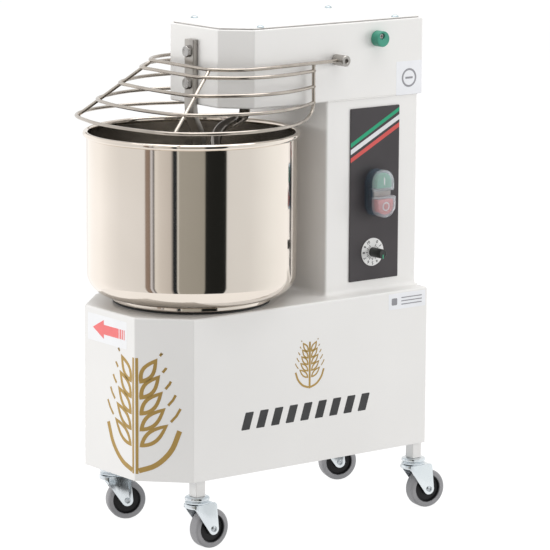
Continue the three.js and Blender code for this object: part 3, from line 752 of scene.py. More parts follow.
carrier_low, carrier_high = span("bowl_carrier")
carrier_out = carrier_high[0]
carrier_profile = [
    (CORE, 299.9), (90, 299.9), (91.6, carrier_low[2] + 0.4), (92.2, carrier_low[2]),
    (carrier_out - 1.2, carrier_low[2]), (carrier_out, carrier_low[2] + 1.2),
    (carrier_out, carrier_high[2] - 1.8), (carrier_out - 1.8, carrier_high[2]),
    (CORE, carrier_high[2])]
piece("bowl_carrier_turned", "bowl", "polished_stainless", mirror_steel,
      revolved(carrier_profile, 120), replaces=["bowl_carrier"])
seat_low, seat_high = span("bowl_seat_ring")
seat_rubber = finish("seat_rubber", (0.022, 0.022, 0.023), (0.014, 0.014, 0.015), (0.5, 0.65),
                     70.0, 500, 0.00004)
seat_profile = [
    (92.5, seat_low[2]), (seat_high[0], seat_low[2]), (seat_high[0], seat_high[2] - 0.8),
    (seat_high[0] - 0.8, seat_high[2]), (93.3, seat_high[2]), (92.5, seat_high[2] - 0.8)]
piece("bowl_seat_seal", "housing", "seat_rubber", seat_rubber,
      revolved(seat_profile, 96, True), replaces=["bowl_seat_ring"])

# ---------------------------------------------------------------- spiral hook
# The hook is one round stainless bar, bent into a spiral that narrows to its toe, and welded
# to the shaft that comes out of the head through a black lip seal.


def through(points, count):
    """A smooth path through points: cubic pieces whose slope at each point is the mean of the
    two chords that meet there, sampled evenly along the chords' lengths."""
    points = np.asarray(points, float)
    reach = np.concatenate([[0], np.cumsum(np.linalg.norm(np.diff(points, axis=0), axis=1))])
    slope = np.gradient(points, reach, axis=0)
    at = np.linspace(0, reach[-1], count)
    k = np.clip(np.searchsorted(reach, at, "right") - 1, 0, len(points) - 2)
    width = (reach[k + 1] - reach[k])[:, None]
    t = (at - reach[k])[:, None] / width
    return ((2 * t ** 3 - 3 * t ** 2 + 1) * points[k] + (t ** 3 - 2 * t ** 2 + t) * width * slope[k]
            + (3 * t ** 2 - 2 * t ** 3) * points[k + 1] + (t ** 3 - t ** 2) * width * slope[k + 1])


def bar_along(path, radius, sides=16, blunt=(0.35, 0.35)):
    """A round bar along a path. Its section is carried without twist: each station's side
    direction is the last one's with the part along the new tangent taken out. The ends are
    domed, blunt times the radius deep."""
    path = np.asarray(path, float)
    tangent = unit(np.gradient(path, axis=0))
    side = np.cross(tangent[0], (0.3, 0.9, 0.1) if abs(tangent[0][1]) < 0.8 else (1, 0.1, 0.2))
    sides_at = []
    for ahead in tangent:
        side = side - ahead * side.dot(ahead)
        side = side / np.linalg.norm(side)
        sides_at.append(side)
    across = np.array(sides_at)
    up = np.cross(tangent, across)
    dome = np.radians([85, 65, 42, 20])
    lift = np.concatenate([dome, np.zeros(len(path)), dome[::-1]])
    push = np.concatenate([-blunt[0] * np.sin(dome), np.zeros(len(path)),
                           blunt[1] * np.sin(dome[::-1])])
    index = np.clip(np.arange(len(lift)) - len(dome), 0, len(path) - 1)
    centre = path[index] + tangent[index] * push[:, None] * radius
    wide = radius * np.cos(lift)
    angle = full_turn(sides)
    rings = centre[:, None] + wide[:, None, None] * (
        across[index][:, None] * np.cos(angle)[None, :, None]
        + up[index][:, None] * np.sin(angle)[None, :, None])
    return loft(rings)


SPIRAL_Y = 82.5


def spiral_path():
    """Down the shank, out to the front left in one sweep, down, and then round and round: the
    angle and the height run on evenly, and the radius draws in a little over the last part.
    Each point is then the mean of its nine neighbours, twice over, which eases the bends."""
    sweep = [(110, 0.3, 529), (125, 1.6, 523), (150, 6, 517.6), (178, 14.5, 513.6),
             (204, 25.5, 509), (223, 33.5, 501.5), (236, 37, 490), (250, 37, 476)]
    t = np.arange(1, 60) / 59
    last = np.clip((t - 0.7) / 0.3, 0, 1)
    turns = np.stack([250 + 434 * t, 37 - 6 * last * last * (3 - 2 * last), 476 - 156 * t], -1)
    angle, radius, height = np.concatenate([sweep, turns]).T
    angle = np.radians(angle)
    coil = np.stack([radius * np.cos(angle), SPIRAL_Y + radius * np.sin(angle), height], -1)
    path = through(np.concatenate([[(0, SPIRAL_Y, 547.5), (0, SPIRAL_Y, 538)], coil]), 200)
    for _ in range(2):
        window = np.stack([path[k:len(path) - 8 + k] for k in range(9)])
        path[4:-4] = window.mean(0)
    return path


bar_steel = finish("bar_steel", (0.35, 0.33, 0.31), (0.28, 0.265, 0.25), (0.2, 0.28), 25.0,
                   160, 0.00003, Metallic=1.0)
piece("spiral_hook_bar", "spiral", "polished_stainless", bar_steel,
      bar_along(spiral_path(), 6.9, 28, (0.1, 0.8)), replaces=["spiral_hook"], crease=60)
seal_profile = [(7.8, 541.2), (8.2, 540.0), (13.4, 540.0), (14.4, 541.2)]
seal_profile += [(14.4, 541.4), (7.8, 541.4)]
piece("spiral_lip_seal", "housing", "black_plastic", seat_rubber,
      revolved(seal_profile, 40, True, (0, SPIRAL_Y)))

# ---------------------------------------------------------------- breaker bar
# A flat bar stands off-centre in the bowl and holds the dough back. It is bolted to the front
# of the head with two hexagon bolts, and bends back to reach down beside the spiral.
bar_low, bar_high = span("breaker_bar")
BAR_THICK = 7.5


def breaker_shell():
    """A flat bar carried down a bent line: at each station a rounded rectangle, wide across
    the head, thick along the line's normal. Both bends are eased by the smooth path."""
    line = through([
        (0, -1.15, bar_high[2]), (0, -1.15, 600), (0, -1.15, 560), (0, -1.15, 538),
        (0, 0.4, 527), (0, 9.4, 506), (0, 12.1, 495), (0, 12.25, 480), (0, 12.25, 400),
        (0, 12.25, bar_low[2] + 3)], 90)
    ahead = unit(np.gradient(line, axis=0))
    normal = np.stack([np.zeros(len(line)), ahead[:, 2], -ahead[:, 1]], -1)
    section = rounded(rectangle(0, 0, bar_high[0] - bar_low[0], BAR_THICK), 1.1, 3)
    shrink = np.ones(len(line))
    shrink[-1] = 0.9
    rings = (line[:, None] + (section[None, :, :1] * shrink[:, None, None]) * np.array((1, 0, 0))
             + section[None, :, 1:] * shrink[:, None, None] * normal[:, None])
    return loft(rings)


brushed_steel = finish("brushed_steel", (0.46, 0.44, 0.41), (0.38, 0.36, 0.34), (0.24, 0.36),
                       30.0, (900, 900, 22), 0.00003, Metallic=1.0)
piece("breaker_bar_bent", "housing", "stainless_bar", brushed_steel, breaker_shell(),
      replaces=["breaker_bar"])


def hex_bolt(width, height):
    """A hexagon head with chamfered top corners and a washer face under it."""
    washer = revolved([(CORE, 0), (width * 0.56, 0), (width * 0.56, 0.9), (CORE, 0.9)], 28)
    angle = full_turn(48)
    sides = width / 2 / np.cos((angle + math.pi / 6) % (math.pi / 3) - math.pi / 6)
    tops = [(0.9, 1.0), (height - 1.0, 1.0), (height - 0.35, 0.94), (height, 0.86)]
    dish = [(0.70, height), (0.66, height - 0.3)]
    rings = [circle(np.minimum(sides, width / math.sqrt(3) * share), angle, up)
             for up, share in tops]
    rings += [circle(width / 2 * share, angle, up) for share, up in dish]
    return [washer, loft(rings)]


bolt_steel = finish("bolt_steel", (0.46, 0.45, 0.44), (0.34, 0.33, 0.32), (0.22, 0.36), 120.0,
                    400, 0.00004, Metallic=1.0)
for which in ("upper", "lower"):
    bolt_low, bolt_high = span(f"breaker_bolt_{which}")
    height = (bolt_low[2] + bolt_high[2]) / 2
    piece(f"breaker_bolt_head_{which}", "housing", "zinc_plate", bolt_steel,
          *[stand(part, ON_FRONT, (0, -4.95, height)) for part in hex_bolt(13, 5.3)],
          replaces=[f"breaker_bolt_{which}"])

# ---------------------------------------------------------------- guard
# The guard is a cage of five bent stainless wires, welded to two rods at the back and two in
# front. It hangs on two bosses beside the head and lifts up and back over it.
WIRE = 2.25
GUARD_WIRES = [
    [(92, 169, 594.5), (92.5, 100, 593.6), (93, 35, 592.8), (89.5, 14, 592.5),
     (79, -4, 592.5), (62, -18.5, 592.5), (32, -19.5, 592.5), (0, -19.5, 592.5)],
    [(91, 121, 584), (99, 95, 584), (105, 66, 584), (106, 38, 584), (100, 10, 584),
     (84, -13, 584), (64, -31.5, 584), (32, -34, 584), (0, -34.5, 584)],
    [(91, 121, 564.5), (103, 97, 564.5), (113, 70, 564.5), (118, 40, 564.5),
     (115, 8, 564.5), (104, -20, 564.5), (77, -55, 564.5), (42, -60, 564.5),
     (0, -62, 564.5)],
    [(91, 121, 544.5), (107, 97, 544.5), (121, 68, 544.5), (131, 34, 544.5),
     (132, 0, 544.5), (122, -34, 544.5), (91, -80, 544.5), (50, -93, 544.5),
     (0, -97, 544.5)],
    [(91, 121, 592.6), (91, 121, 560), (91, 121, 543), (92.5, 118, 534), (98, 109, 529),
     (120, 78, 525.5), (138, 38, 525), (146, -8, 525), (137, -57, 525), (104, -103, 525),
     (56, -121, 525), (0, -128, 525)],
]
FRONT_ROD = [(60, -16.5, 592.5), (74.3, -44.5, 570), (88.7, -72.5, 547.5), (103, -100.5, 525)]
# The wires' steel is toned darker and browner than bare stainless: partly the steel's own tone,
# partly painted reflection of the darker surroundings that they mirror.
wire_steel_painted_reflection = finish("wire_steel_painted_reflection", (0.49, 0.445, 0.395), (0.40, 0.36, 0.32), (0.14, 0.22), 40.0,
                    300, 0.00002, Metallic=1.0)
guard_parts = []
for half in GUARD_WIRES:
    whole = half + [(-x, y, z) for x, y, z in half[-2::-1]]
    guard_parts.append(bar_along(through(whole, 150), WIRE, 14))
for side in (1, -1):
    rod = [(side * x, y, z) for x, y, z in FRONT_ROD]
    guard_parts.append(bar_along(through(rod, 12), WIRE, 14))
piece("guard_wires", "guard", "polished_stainless", wire_steel_painted_reflection, *guard_parts,
      replaces=["guard_cage"], crease=60)

weld_steel = finish("weld_steel", (0.42, 0.38, 0.33), (0.24, 0.20, 0.17), (0.3, 0.5), 300.0,
                    500, 0.0001, Metallic=1.0)


def bead(at, size):
    """A small weld: a ball flattened by the two wires it joins."""
    latitude = np.radians(np.linspace(-84, 84, 8))
    profile = [(size * math.cos(a), size * 0.8 * math.sin(a)) for a in latitude]
    return placed(revolved(profile, 12), *at)


WELDS_BEHIND = [(91, 121, 584), (91, 121, 564.5), (91, 121, 544.5), (91.3, 121, 592.4)]
WELDS_IN_FRONT = [(60, -16.5, 592.5), (65.5, -28, 583.6), (77.5, -52.5, 564),
                  (90.5, -78.5, 544), (103, -100.5, 525)]
piece("guard_welds", "guard", "stainless_bar", weld_steel,
      *[bead((side * x, y, z), size) for side in (1, -1)
        for places, size in ((WELDS_BEHIND, 2.9), (WELDS_IN_FRONT, 2.85))
        for x, y, z in places], crease=80)

HINGE_UP = 594.5
HINGE_BACK = 163
for side, name in ((1, "right"), (-1, "left")):
    boss_low, boss_high = span(f"guard_boss_{name}")
    start, end = sorted((abs(boss_low[0]), abs(boss_high[0])))
    boss = [(CORE, start), (6.4, start), (7, start + 0.6), (7, end - 0.9), (6.1, end),
            (3.3, end), (3.0, end - 0.4), (3.0, end - 3.6), (CORE, end - 3.6)]
    points, faces = revolved(boss, 36)
    piece(f"guard_boss_turned_{name}", "guard", "stainless_bar", brushed_steel,
          stand((points * (1, 1, side), faces), ON_SIDE, (0, HINGE_BACK, HINGE_UP)),
          replaces=[f"guard_boss_{name}"])

stop_low, stop_high = span("guard_stop")
stop_middle = (stop_low + stop_high) / 2
stop_radius = (stop_high[2] - stop_low[2]) / 2
hole = (-1.7, 3.6)
stop_green = finish("stop_green", (0.045, 0.30, 0.205), (0.035, 0.25, 0.17), (0.36, 0.48),
                    60.0, 500, 0.00003)


def eccentric_stop():
    """A turned disc with an off-centre hole: rings run up the outside, over the eased rim,
    in across the face to the hole and down its wall, and the two centres are blended."""
    length = stop_high[0] - stop_low[0]
    steps = [(stop_radius - 0.4, 0, 0), (stop_radius, 0.4, 0), (stop_radius, length - 1.2, 0),
             (stop_radius - 0.35, length - 0.35, 0), (stop_radius - 1.2, length, 0),
             (4.4, length, 1), (3.8, length - 0.6, 1), (3.8, length - 5.5, 1)]
    rings = [circle(r, full_turn(48), h, (hole[0] * mix, hole[1] * mix)) for r, h, mix in steps]
    return stand(loft(rings), ON_SIDE, (stop_low[0], stop_middle[1], stop_middle[2]))


piece("guard_stop_disc", "housing", "green_plastic", stop_green, eccentric_stop(),
      replaces=["guard_stop"], even=True)
screw_profile = [(CORE, 7.6), (2.9, 7.6), (3.2, 8.0), (3.2, 10.6), (2.8, 11.0), (1.7, 11.0),
                 (1.6, 9.2), (CORE, 9.2)]
piece("guard_stop_screw", "housing", "zinc_plate", bolt_steel,
      stand(revolved(screw_profile, 18), ON_SIDE,
            (stop_low[0], stop_middle[1] + hole[0], stop_middle[2] + hole[1])))

# ---------------------------------------------------------------- control panel
# A dark grey aluminium plate is fixed to the column's side. Three stripes cross its upper part,
# and two push buttons with a lamp between them sit in a clear boot, above a timer.


def on_side(shape, out=0):
    """Stands a flat shape on the side with the controls, out from the machine's middle."""
    return stand(shape, ON_SIDE, (out, 0, 0))


panel_low, panel_high = span("control_panel")
panel_face = panel_high[0]
panel_paint = finish("panel_paint", (0.056, 0.050, 0.053), (0.047, 0.042, 0.045), (0.36, 0.46),
                     18.0, 900, 0.00002, Specular_IOR_Level=0.3)
panel_middle = (panel_low + panel_high) / 2
panel_size = panel_high - panel_low
panel_plate = plate(rectangle(panel_middle[1], panel_middle[2], panel_size[1], panel_size[2]),
                    0, panel_size[0], 1.2, 0.35)
piece("control_plate", "housing", "panel_grey", panel_paint,
      on_side(panel_plate, panel_low[0]), replaces=["control_panel"], even=True)
INK = 0.12


def ink(corners, radius=0.05, thick=INK):
    """A printed or stuck-on shape: a thin plate with a hairline edge."""
    return plate(corners, 0, thick, radius, 0.02, 1)


# Lower and upper edge of each stripe at DRAWN_FROM and, DRAWN_OVER further back, then its tones.
DRAWN_FROM, DRAWN_OVER = 186.4, 78.9
STRIPES = {
    "green": ((480.0, 485.4), (521.5, 526.5), (0.004, 0.335, 0.165), (0.003, 0.30, 0.145)),
    "white": ((470.8, 477.2), (510.8, 516.9), (0.72, 0.72, 0.74), (0.68, 0.68, 0.70)),
    "red": ((460.6, 466.4), (501.0, 507.0), (0.63, 0.08, 0.075), (0.58, 0.07, 0.06)),
}
edge_front, edge_back = panel_low[1] + 0.25, panel_high[1] - 0.25
for colour, (front, back, light, dark) in STRIPES.items():
    slope = [(b - f) / DRAWN_OVER for f, b in zip(front, back)]
    at_front = [f + s * (edge_front - DRAWN_FROM) for f, s in zip(front, slope)]
    at_back = [f + s * (edge_back - DRAWN_FROM) for f, s in zip(front, slope)]
    stripe = [(edge_front, at_front[0]), (edge_back, at_back[0]),
              (edge_back, at_back[1]), (edge_front, at_front[1])]
    piece(f"panel_stripe_{colour}", "housing", "panel_grey",
          finish(f"{colour}_ink", light, dark, (0.4, 0.5), 40.0),
          on_side(ink(stripe), panel_face))

# ---------------------------------------------------------------- push buttons
# The green start button stands out less than the red stop button under it. A frosted lamp
# window lies between them, and a clear silicone boot with two domes is drawn over all three.
# Distances out from the machine's middle: the stems' feet, the base's top, and the caps' feet,
# which leave room for their travel.
STEM_FOOT, BASE_TOP, CAP_FOOT = 64, 87, 92
BUTTON_Y = 228
start_low, start_high = span("start_button")
halt_low, halt_high = span("stop_button")
start_up = (start_low[2] + start_high[2]) / 2
halt_up = (halt_low[2] + halt_high[2]) / 2
lamp_up = (start_up + halt_up) / 2
button_green = finish("button_green", (0.04, 0.36, 0.20), (0.03, 0.31, 0.17), (0.3, 0.42), 80.0,
                      600, 0.00002)
button_red = finish("button_red", (0.62, 0.07, 0.06), (0.54, 0.055, 0.05), (0.3, 0.42), 80.0,
                    600, 0.00002)


# A lobe's half width, and where its flat and its crown lie, counted from the lamp's middle.
LOBE_HALF, LOBE_FLAT, LOBE_CROWN = 12.0, 7.2, 26.4
LOBE_CORNER = 1.2


def lobe(depth, way):
    """Outline of a button's lobe, drawn in by depth: half a circle at the crown, straight
    sides, and two small corners at the flat beside the lamp. way is 1 above it, -1 below."""
    half, near, crown = LOBE_HALF - depth, LOBE_FLAT + depth, LOBE_CROWN - depth
    corner = LOBE_CORNER
    top = np.linspace(0, math.pi, 29)
    low = np.linspace(math.pi, 1.5 * math.pi, 6)
    round_end = np.stack([half * np.cos(top), crown - half + half * np.sin(top)], -1)
    left = np.stack([corner - half + corner * np.cos(low),
                     near + corner + corner * np.sin(low)], -1)
    outline = np.concatenate([round_end, left, left[::-1] * (-1, 1)])
    return outline * (1, way) + (BUTTON_Y, lamp_up)


def lobe_shape(steps, way):
    """A shape over a lobe's outline: each step is (depth in from the cap's edge, distance out
    from the column's middle)."""
    return [flat(lobe(depth, way), height) for depth, height in steps]


def cap_shape(face, way):
    """A button cap: the lobe carried out to its face, with an eased rim."""
    return on_side(loft(lobe_shape([(0, CAP_FOOT), (0, face - 1.4), (0.4, face - 0.4),
                                    (1.3, face)], way)))


def stem_shape(middle):
    """The round stem that carries a cap through the panel to its contacts."""
    foot, top = STEM_FOOT, CAP_FOOT + 1
    return on_side(revolved([(CORE, foot), (4, foot), (4, top), (CORE, top)], 20,
                            centre=(BUTTON_Y, middle)))


piece("start_button_cap", "start_button", "green_plastic", button_green,
      cap_shape(start_high[0], 1), stem_shape(start_up), replaces=["start_button"])
piece("stop_button_cap", "stop_button", "red_plastic", button_red,
      cap_shape(halt_high[0], -1), stem_shape(halt_up), replaces=["stop_button"])
mark_white = finish("mark_white", (0.80, 0.80, 0.78), (0.74, 0.74, 0.72), (0.4, 0.5), 60.0)
piece("start_button_mark", "start_button", "dial_white", mark_white,
      on_side(ink(rectangle(BUTTON_Y, start_up, 1.8, 9)), start_high[0]))
ring_profile = [(4.2, 0), (5.6, 0), (5.6, INK), (4.2, INK)]
piece("stop_button_mark", "stop_button", "dial_white", mark_white,
      on_side(revolved(ring_profile, 40, True, (BUTTON_Y, halt_up)), halt_high[0]))
LAMP_FOOT = 94
lamp_glass = finish("lamp_window", (0.42, 0.41, 0.40), (0.36, 0.35, 0.34), (0.3, 0.4), 60.0,
                    (300, 300, 900), 0.00006)
piece("lamp_window", "housing", "clear_silicone", lamp_glass,
      on_side(plate(rectangle(BUTTON_Y, lamp_up, 27, 11.5), LAMP_FOOT, 98.4, 1.2, 0.6)))
button_base = finish("button_base", (0.030, 0.034, 0.042), (0.022, 0.025, 0.031), (0.4, 0.5),
                     60.0, 500, 0.00003)
piece("button_base", "housing", "black_plastic", button_base,
      on_side(plate(rectangle(BUTTON_Y, lamp_up, 30, 55), panel_face + 0.35, BASE_TOP, 12, 1.0)),
      on_side(plate(rectangle(BUTTON_Y, lamp_up, 26, 11), BASE_TOP - 0.2, LAMP_FOOT + 0.2,
                    1.2, 0.4)))

boot_low, boot_high = span("button_boot")


def clear_rubber(name, tint, transmission, low, high):
    """Clear silicone, with a haze that wanders between two roughnesses."""
    material, shader = new_material(name)
    add_clouds(material, shader, 90.0, (low, high))
    shader.inputs["Base Color"].default_value = (*tint, 1)
    shader.inputs["Transmission Weight"].default_value = transmission
    shader.inputs["IOR"].default_value = 1.18
    return material


def boot_outline(depth):
    """Outline of the boot's skirt in its plane: an oblong with round ends, drawn in by depth."""
    half = (17.5 - depth, 30 - depth)
    corners = box_corners((BUTTON_Y - half[0], lamp_up - half[1]),
                          (BUTTON_Y + half[0], lamp_up + half[1]))
    return rounded(corners, 16.0 - depth, 10)


def tub(outside, inside, outline):
    """A tub standing mouth down: from the middle of its ceiling down the inside, and up the
    outside to the middle of its top. Stations are (depth in, distance out)."""
    return on_side(loft([flat(outline(depth), height)
                         for depth, height in inside[::-1] + outside]))


def dome(top, way):
    """A hollow dome over one lobe, with an eased crown."""
    return tub([(-4.0, 97.0), (-4.0, top - 3.6), (-3.7, top - 1.8), (-2.9, top - 0.6),
                (-1.6, top), (4, top)],
               [(-2.7, 97.0), (-2.7, top - 3.6), (-2.4, top - 2.2), (-1.8, top - 1.4),
                (-0.8, top - 1.1), (4, top - 1.1)],
               lambda depth: lobe(depth, way))


skirt = tub([(0, 83.9), (0, 93), (0.5, 95.2), (1.4, 96.4), (2.8, 96.9), (8, 96.9)],
            [(1.3, 83.9), (1.3, 93), (1.7, 94.6), (2.4, 95.5), (3.4, 95.8), (8, 95.8)],
            boot_outline)
piece("button_boot_skirt", "housing", "clear_silicone",
      clear_rubber("clear_skirt", (0.62, 0.73, 0.84), 0.95, 0.10, 0.18), skirt,
      replaces=["button_boot"], crease=50)
piece("button_boot_domes", "housing", "clear_silicone",
      clear_rubber("clear_domes", (0.95, 0.97, 1.0), 0.84, 0.08, 0.15),
      dome(boot_low[0] + 20.4, 1), dome(boot_high[0], -1), crease=50)

# ---------------------------------------------------------------- timer
# A white dial with black figures lies on the panel, and a black knob with a green pointer
# turns over it. At rest the knob points straight down.
TIMER_Y, TIMER_UP = 224.3, 344
dial_low, dial_high = span("timer_dial")
dial_white = finish("dial_white", (0.80, 0.80, 0.79), (0.76, 0.76, 0.75), (0.35, 0.45), 60.0)
dial_profile = [(4, dial_low[0]), (17.8, dial_low[0]), (18, dial_low[0] + 0.2),
                (18, dial_high[0] - 0.2), (17.8, dial_high[0]), (4, dial_high[0])]
piece("timer_dial_plate", "housing", "dial_white", dial_white,
      on_side(revolved(dial_profile, 64, True, (TIMER_Y, TIMER_UP))),
      replaces=["timer_dial"])
print_black = finish("print_black", (0.02, 0.02, 0.021), (0.03, 0.03, 0.031), (0.4, 0.5), 60.0)
FIRST_MARK, MARK_STEP = 30, 30
TICK_FROM = 7.4
FIGURE_AT = 14.2


def on_dial(shape, number, reach, lift):
    """A printed mark leaned so that its up points out from the dial's middle at the angle of a
    number on the scale, reach from the middle and lift above the dial's face."""
    points, faces = shape
    angle = math.radians(FIRST_MARK + MARK_STEP * number)
    c, s = math.sin(angle), math.cos(angle)
    points = points @ np.array([(s, -c, 0), (c, s, 0), (0, 0, 1)])
    points = points + (TIMER_Y + reach * c, TIMER_UP + reach * s, 0)
    return on_side((points, faces), dial_high[0] + lift)


ticks = []
for tick in range(21):
    length, width = (3.4, 0.8) if tick % 2 == 0 else (2.0, 0.5)
    ticks.append(on_dial(ink(rectangle(0, TICK_FROM + length / 2, width, length)),
                         tick / 2, 0, 0))
piece("timer_ticks", "housing", "dial_white", print_black, *ticks)
figures = []
for number in range(11):
    letters = bpy.data.curves.new(f"figure_{number}", "FONT")
    letters.body = str(number)
    letters.size = 5.6
    letters.offset = 0.07
    letters.align_x, letters.align_y = "CENTER", "CENTER"
    letters.extrude = INK
    letters.resolution_u = 3
    holder = show(f"figure_{number}", letters)
    bpy.context.view_layer.update()
    solid = bpy.data.meshes.new_from_object(
        holder.evaluated_get(bpy.context.evaluated_depsgraph_get()))
    points = np.array([v.co for v in solid.vertices])
    faces = [list(p.vertices) for p in solid.polygons]
    figures.append(on_dial((points, faces), number, FIGURE_AT, INK / 2))
    bpy.data.objects.remove(holder)
piece("timer_figures", "housing", "dial_white", print_black, *figures)

knob_face = span("timer_knob")[1][0]
knob_black = finish("knob_black", (0.020, 0.022, 0.020), (0.012, 0.014, 0.012), (0.3, 0.42),
                    90.0, 500, 0.00003)


def ribbed_knob():
    """A moulded knob: fine flutes round its side, whose depth fades towards both rims."""
    start, end = dial_high[0] + 0.3, knob_face
    angle = full_turn(144)
    rings = []
    for radius, height, flute in ((6.0, start, 0), (6.2, start + 0.6, 0.2), (6.0, end - 1.4, 0.2),
                                  (5.8, end - 0.4, 0.05), (5.3, end, 0), (4.3, end, 0),
                                  (4.1, end - 0.3, 0)):
        reach = radius - flute * (1 + np.cos(angle * 24)) / 2
        rings.append(circle(reach, angle, height, (TIMER_Y, TIMER_UP)))
    return on_side(loft(rings))


spindle = on_side(revolved([(CORE, 70), (3, 70), (3, dial_high[0] + 1),
                            (CORE, dial_high[0] + 1)], 20, centre=(TIMER_Y, TIMER_UP)))
piece("timer_knob_moulded", "timer_knob", "black_plastic", knob_black, ribbed_knob(), spindle,
      replaces=["timer_knob"])
pointer = plate(rectangle(TIMER_Y, TIMER_UP - 3.3, 1.6, 5.2), -5.0, 0.12, 0.3, 0.1, 2)
piece("timer_pointer", "timer_knob", "green_plastic", button_green,
      on_side(pointer, knob_face))

# ---------------------------------------------------------------- labels and ornament
# Stickers and printed ornament on the casings: a red arrow that shows which way the bowl turns,
# two plain stickers, gilt ears of wheat, and a row of dark slanting bars.
label_white = finish("label_white", (0.85, 0.855, 0.87), (0.82, 0.825, 0.84), (0.25, 0.35), 30.0)
arrow_red = finish("arrow_red", (0.86, 0.19, 0.19), (0.80, 0.17, 0.17), (0.3, 0.4), 40.0)
front_face = base_low[1]
LABEL = 0.1
ARROW_UP, TAIL_LOW, TAIL_HIGH = 268.7, 262.6, 274.8
piece("arrow_label", "housing", "dial_white", label_white,
      stand(ink(rectangle(-4.5, ARROW_UP, 84, 34), 1.0, LABEL), ON_FRONT, (0, front_face, 0)))
arrow_parts = [[(-35.4, ARROW_UP), (-11.5, 256.8), (-11.5, TAIL_LOW), (20.6, TAIL_LOW),
                (20.6, TAIL_HIGH), (-11.5, TAIL_HIGH), (-11.5, 280.8)]]
arrow_parts += [box_corners((left, TAIL_LOW), (right, TAIL_HIGH))
                for left, right in ((22.4, 25.6), (27.2, 29.6), (31.4, 33.2))]
piece("arrow_print", "housing", "red_plastic", arrow_red,
      *[stand(ink(part), ON_FRONT, (0, front_face - LABEL, 0)) for part in arrow_parts])

sticker_pale = finish("sticker_pale", (0.83, 0.84, 0.87), (0.79, 0.80, 0.83), (0.3, 0.4), 30.0)
line_grey = finish("line_grey", (0.30, 0.30, 0.32), (0.25, 0.25, 0.27), (0.4, 0.5), 60.0)
head_side, base_side = head_high[0], base_high[0]
HEAD_MARK = (283, 563.3)
piece("head_sticker", "housing", "dial_white", sticker_pale,
      on_side(ink(rectangle(*HEAD_MARK, 42, 43), 1.0, LABEL), head_side))
piece("head_sticker_mark", "housing", "dial_white", line_grey,
      on_side(revolved([(9.5, 0), (12, 0), (12, INK), (9.5, INK)], 48, True, HEAD_MARK),
              head_side + LABEL),
      on_side(ink(rectangle(*HEAD_MARK, 12, 2.5)), head_side + LABEL))
piece("base_sticker", "housing", "dial_white", sticker_pale,
      on_side(ink(rectangle(264.6, 280.4, 61, 20.5), 1.0, LABEL), base_side))
piece("base_sticker_mark", "housing", "dial_white", line_grey,
      *[on_side(ink(rectangle(272, up, 34, 1.3)), base_side + LABEL)
        for up in (284.5, 280.2, 275.9)],
      on_side(ink(rectangle(243.5, 280.2, 9, 9), 1.5), base_side + LABEL))

gilt = finish("gilt_print", (0.44, 0.285, 0.08), (0.36, 0.23, 0.06), (0.34, 0.46), 14.0,
              Metallic=0.3)


def leaf_ring(foot, tip, width, stroke):
    """A grain drawn in outline: two lens-shaped loops about the line from foot to tip, whose
    half width is the sine of the way along, the inner one a stroke further in."""
    foot, tip = np.array(foot, float), np.array(tip, float)
    axis = tip - foot
    length = np.linalg.norm(axis)
    axis /= length
    out = np.array([-axis[1], axis[0]])
    t = np.linspace(0, 1, 15)

    def loop(shrink):
        """One loop, drawn in by shrink."""
        along = foot + axis * (shrink * 1.6) + np.outer(t * (length - 3.4 * shrink), axis)
        bulge = np.outer(np.sin(math.pi * t ** 0.85) * (width / 2 - shrink), out)
        return np.concatenate([along + bulge, (along - bulge)[-2:0:-1]])

    outer, inner = loop(0), loop(stroke)
    return loft([flat(outer, 0), flat(outer, INK), flat(inner, INK), flat(inner, 0)], wrap=True)


def stroke_line(points, width):
    """A line of even width through points, as a thin flat ribbon with square ends."""
    points = np.asarray(points, float)
    ahead = unit(np.gradient(points, axis=0))
    out = np.stack([-ahead[:, 1], ahead[:, 0]], -1) * width / 2
    outline = np.concatenate([points + out, (points - out)[::-1]])
    return loft([flat(outline, 0), flat(outline, INK)])


def wheat_half(side, scale):
    """One half of an ear of wheat, drawn upwards from 0 to 160 times scale: five grains that
    lean out from the stem, each with its awn, half of the stem, and a leaf at its foot."""
    size = np.array((side * scale, scale))
    parts = []
    for step in range(5):
        foot, tip = (5, 34 + 20 * step), (41 - 3.4 * step, 64 + 20.6 * step)
        awn = [(44 - 3.4 * step, 67 + 20.6 * step), (51 - 4.4 * step, 75 + 19.6 * step),
               (56 - 6 * step, 84 + 17 * step)]
        parts.append(leaf_ring(foot * size, tip * size, 18 * scale, 4.7 * scale))
        parts.append(stroke_line(awn * size, 3.2 * scale))
    parts.append(stroke_line([(1.8, 0), (1.8, 80), (1.5, 146)] * size, 3.6 * scale))
    leaf = [(4, 4), (24, 11), (44, 30), (55, 56)] * size
    parts.append(stroke_line(through(flat(leaf, 0), 14)[:, :2], 6.4 * scale))
    return parts


FOLD_X = base_high[0] - BASE_CHAMFER
HALF_TURNED = math.sqrt(0.5)
ON_CHAMFER = ((HALF_TURNED, HALF_TURNED, 0), (0, 0, 1), (HALF_TURNED, -HALF_TURNED, 0))
EMBLEM_LOW = 98
piece("wheat_front", "housing", "white_paint", gilt,
      *[stand(part, ON_FRONT, (FOLD_X - 1.2, front_face, EMBLEM_LOW))
        for part in wheat_half(-1, 1.0)])
piece("wheat_corner", "housing", "white_paint", gilt,
      *[stand(part, ON_CHAMFER, (FOLD_X + 0.85, front_face + 0.85, EMBLEM_LOW))
        for part in wheat_half(1, 1.0)])
piece("wheat_side", "housing", "white_paint", gilt,
      *[stand(part, ON_SIDE, (base_side, 106.6, 185)) for side in (1, -1)
        for part in wheat_half(side, 0.41)])
FIRST_BAR, BAR_STEP, BAR_WIDE, BAR_LEAN = -1, 23.2, 13, 7
BAR_LOW, BAR_HIGH = 145, 167
bars = []
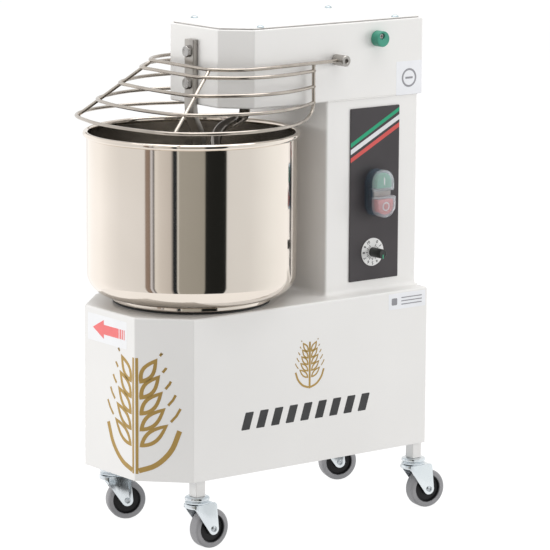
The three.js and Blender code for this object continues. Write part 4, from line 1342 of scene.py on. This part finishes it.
for left in FIRST_BAR + BAR_STEP * np.arange(9):
    bar = [(left, BAR_LOW), (left + BAR_WIDE, BAR_LOW),
           (left + BAR_WIDE + BAR_LEAN, BAR_HIGH), (left + BAR_LEAN, BAR_HIGH)]
    bars.append(on_side(ink(bar, 1.0), base_side))
piece("side_ornament", "housing", "black_plastic", print_black, *bars)

# ---------------------------------------------------------------- cable gland
# A black nylon gland screws into the base's back, low on the left as seen from the front.
# The mains cord would come out through it, and is left off.
gland_low, gland_high = span("cable_gland")
gland_middle = (gland_low + gland_high) / 2
gland_nylon = finish("gland_nylon", (0.020, 0.020, 0.021), (0.013, 0.013, 0.014), (0.4, 0.52),
                     80.0, 500, 0.00003)
gland_profile = [(4.5, 0), (9, 0), (9, 5.0), (8.2, 5.6), (8.4, 7.2), (8.4, 12.0), (7.4, 14.4),
                 (5.9, 15.7), (4.9, 15.7), (4.5, 15.2)]
piece("cable_gland_body", "housing", "black_plastic", gland_nylon,
      stand(revolved(gland_profile, 36, True), ON_BACK,
            (gland_middle[0], gland_low[1], gland_middle[2])),
      replaces=["cable_gland"])

# ---------------------------------------------------------------- inside
# Shafts, bearings, sprockets and chains are plain machined steel, the motor and gearbox are
# painted castings, and the electrical parts are black plastic. None of them shows when closed.
machine_steel = finish("machine_steel", (0.48, 0.47, 0.46), (0.36, 0.35, 0.34), (0.28, 0.45),
                       90.0, 400, 0.00003, Metallic=1.0)
dress(machine_steel, "bowl_shaft", "bowl_bearing_lower", "bowl_bearing_upper", "bowl_sprocket",
      "lower_drive_sprocket", "upper_drive_sprocket", "spiral_sprocket", "lower_chain",
      "upper_chain", "drive_shaft", "spiral_shaft", "spiral_bearing_lower",
      "spiral_bearing_upper", "guard_pivot_right", "guard_pivot_left")
grey_casting = finish("grey_casting", (0.24, 0.25, 0.27), (0.18, 0.19, 0.21), (0.5, 0.68), 60.0,
                      300, 0.0002)
dress(grey_casting, "bowl_bearing_housing", "gearbox_case", "motor_body", "drive_bearing",
      "spiral_bearing_housing")
box_black = finish("box_black", (0.022, 0.022, 0.023), (0.015, 0.015, 0.016), (0.45, 0.58), 50.0,
                   500, 0.00004)
dress(box_black, "guard_switch", "timer_body", "control_box")
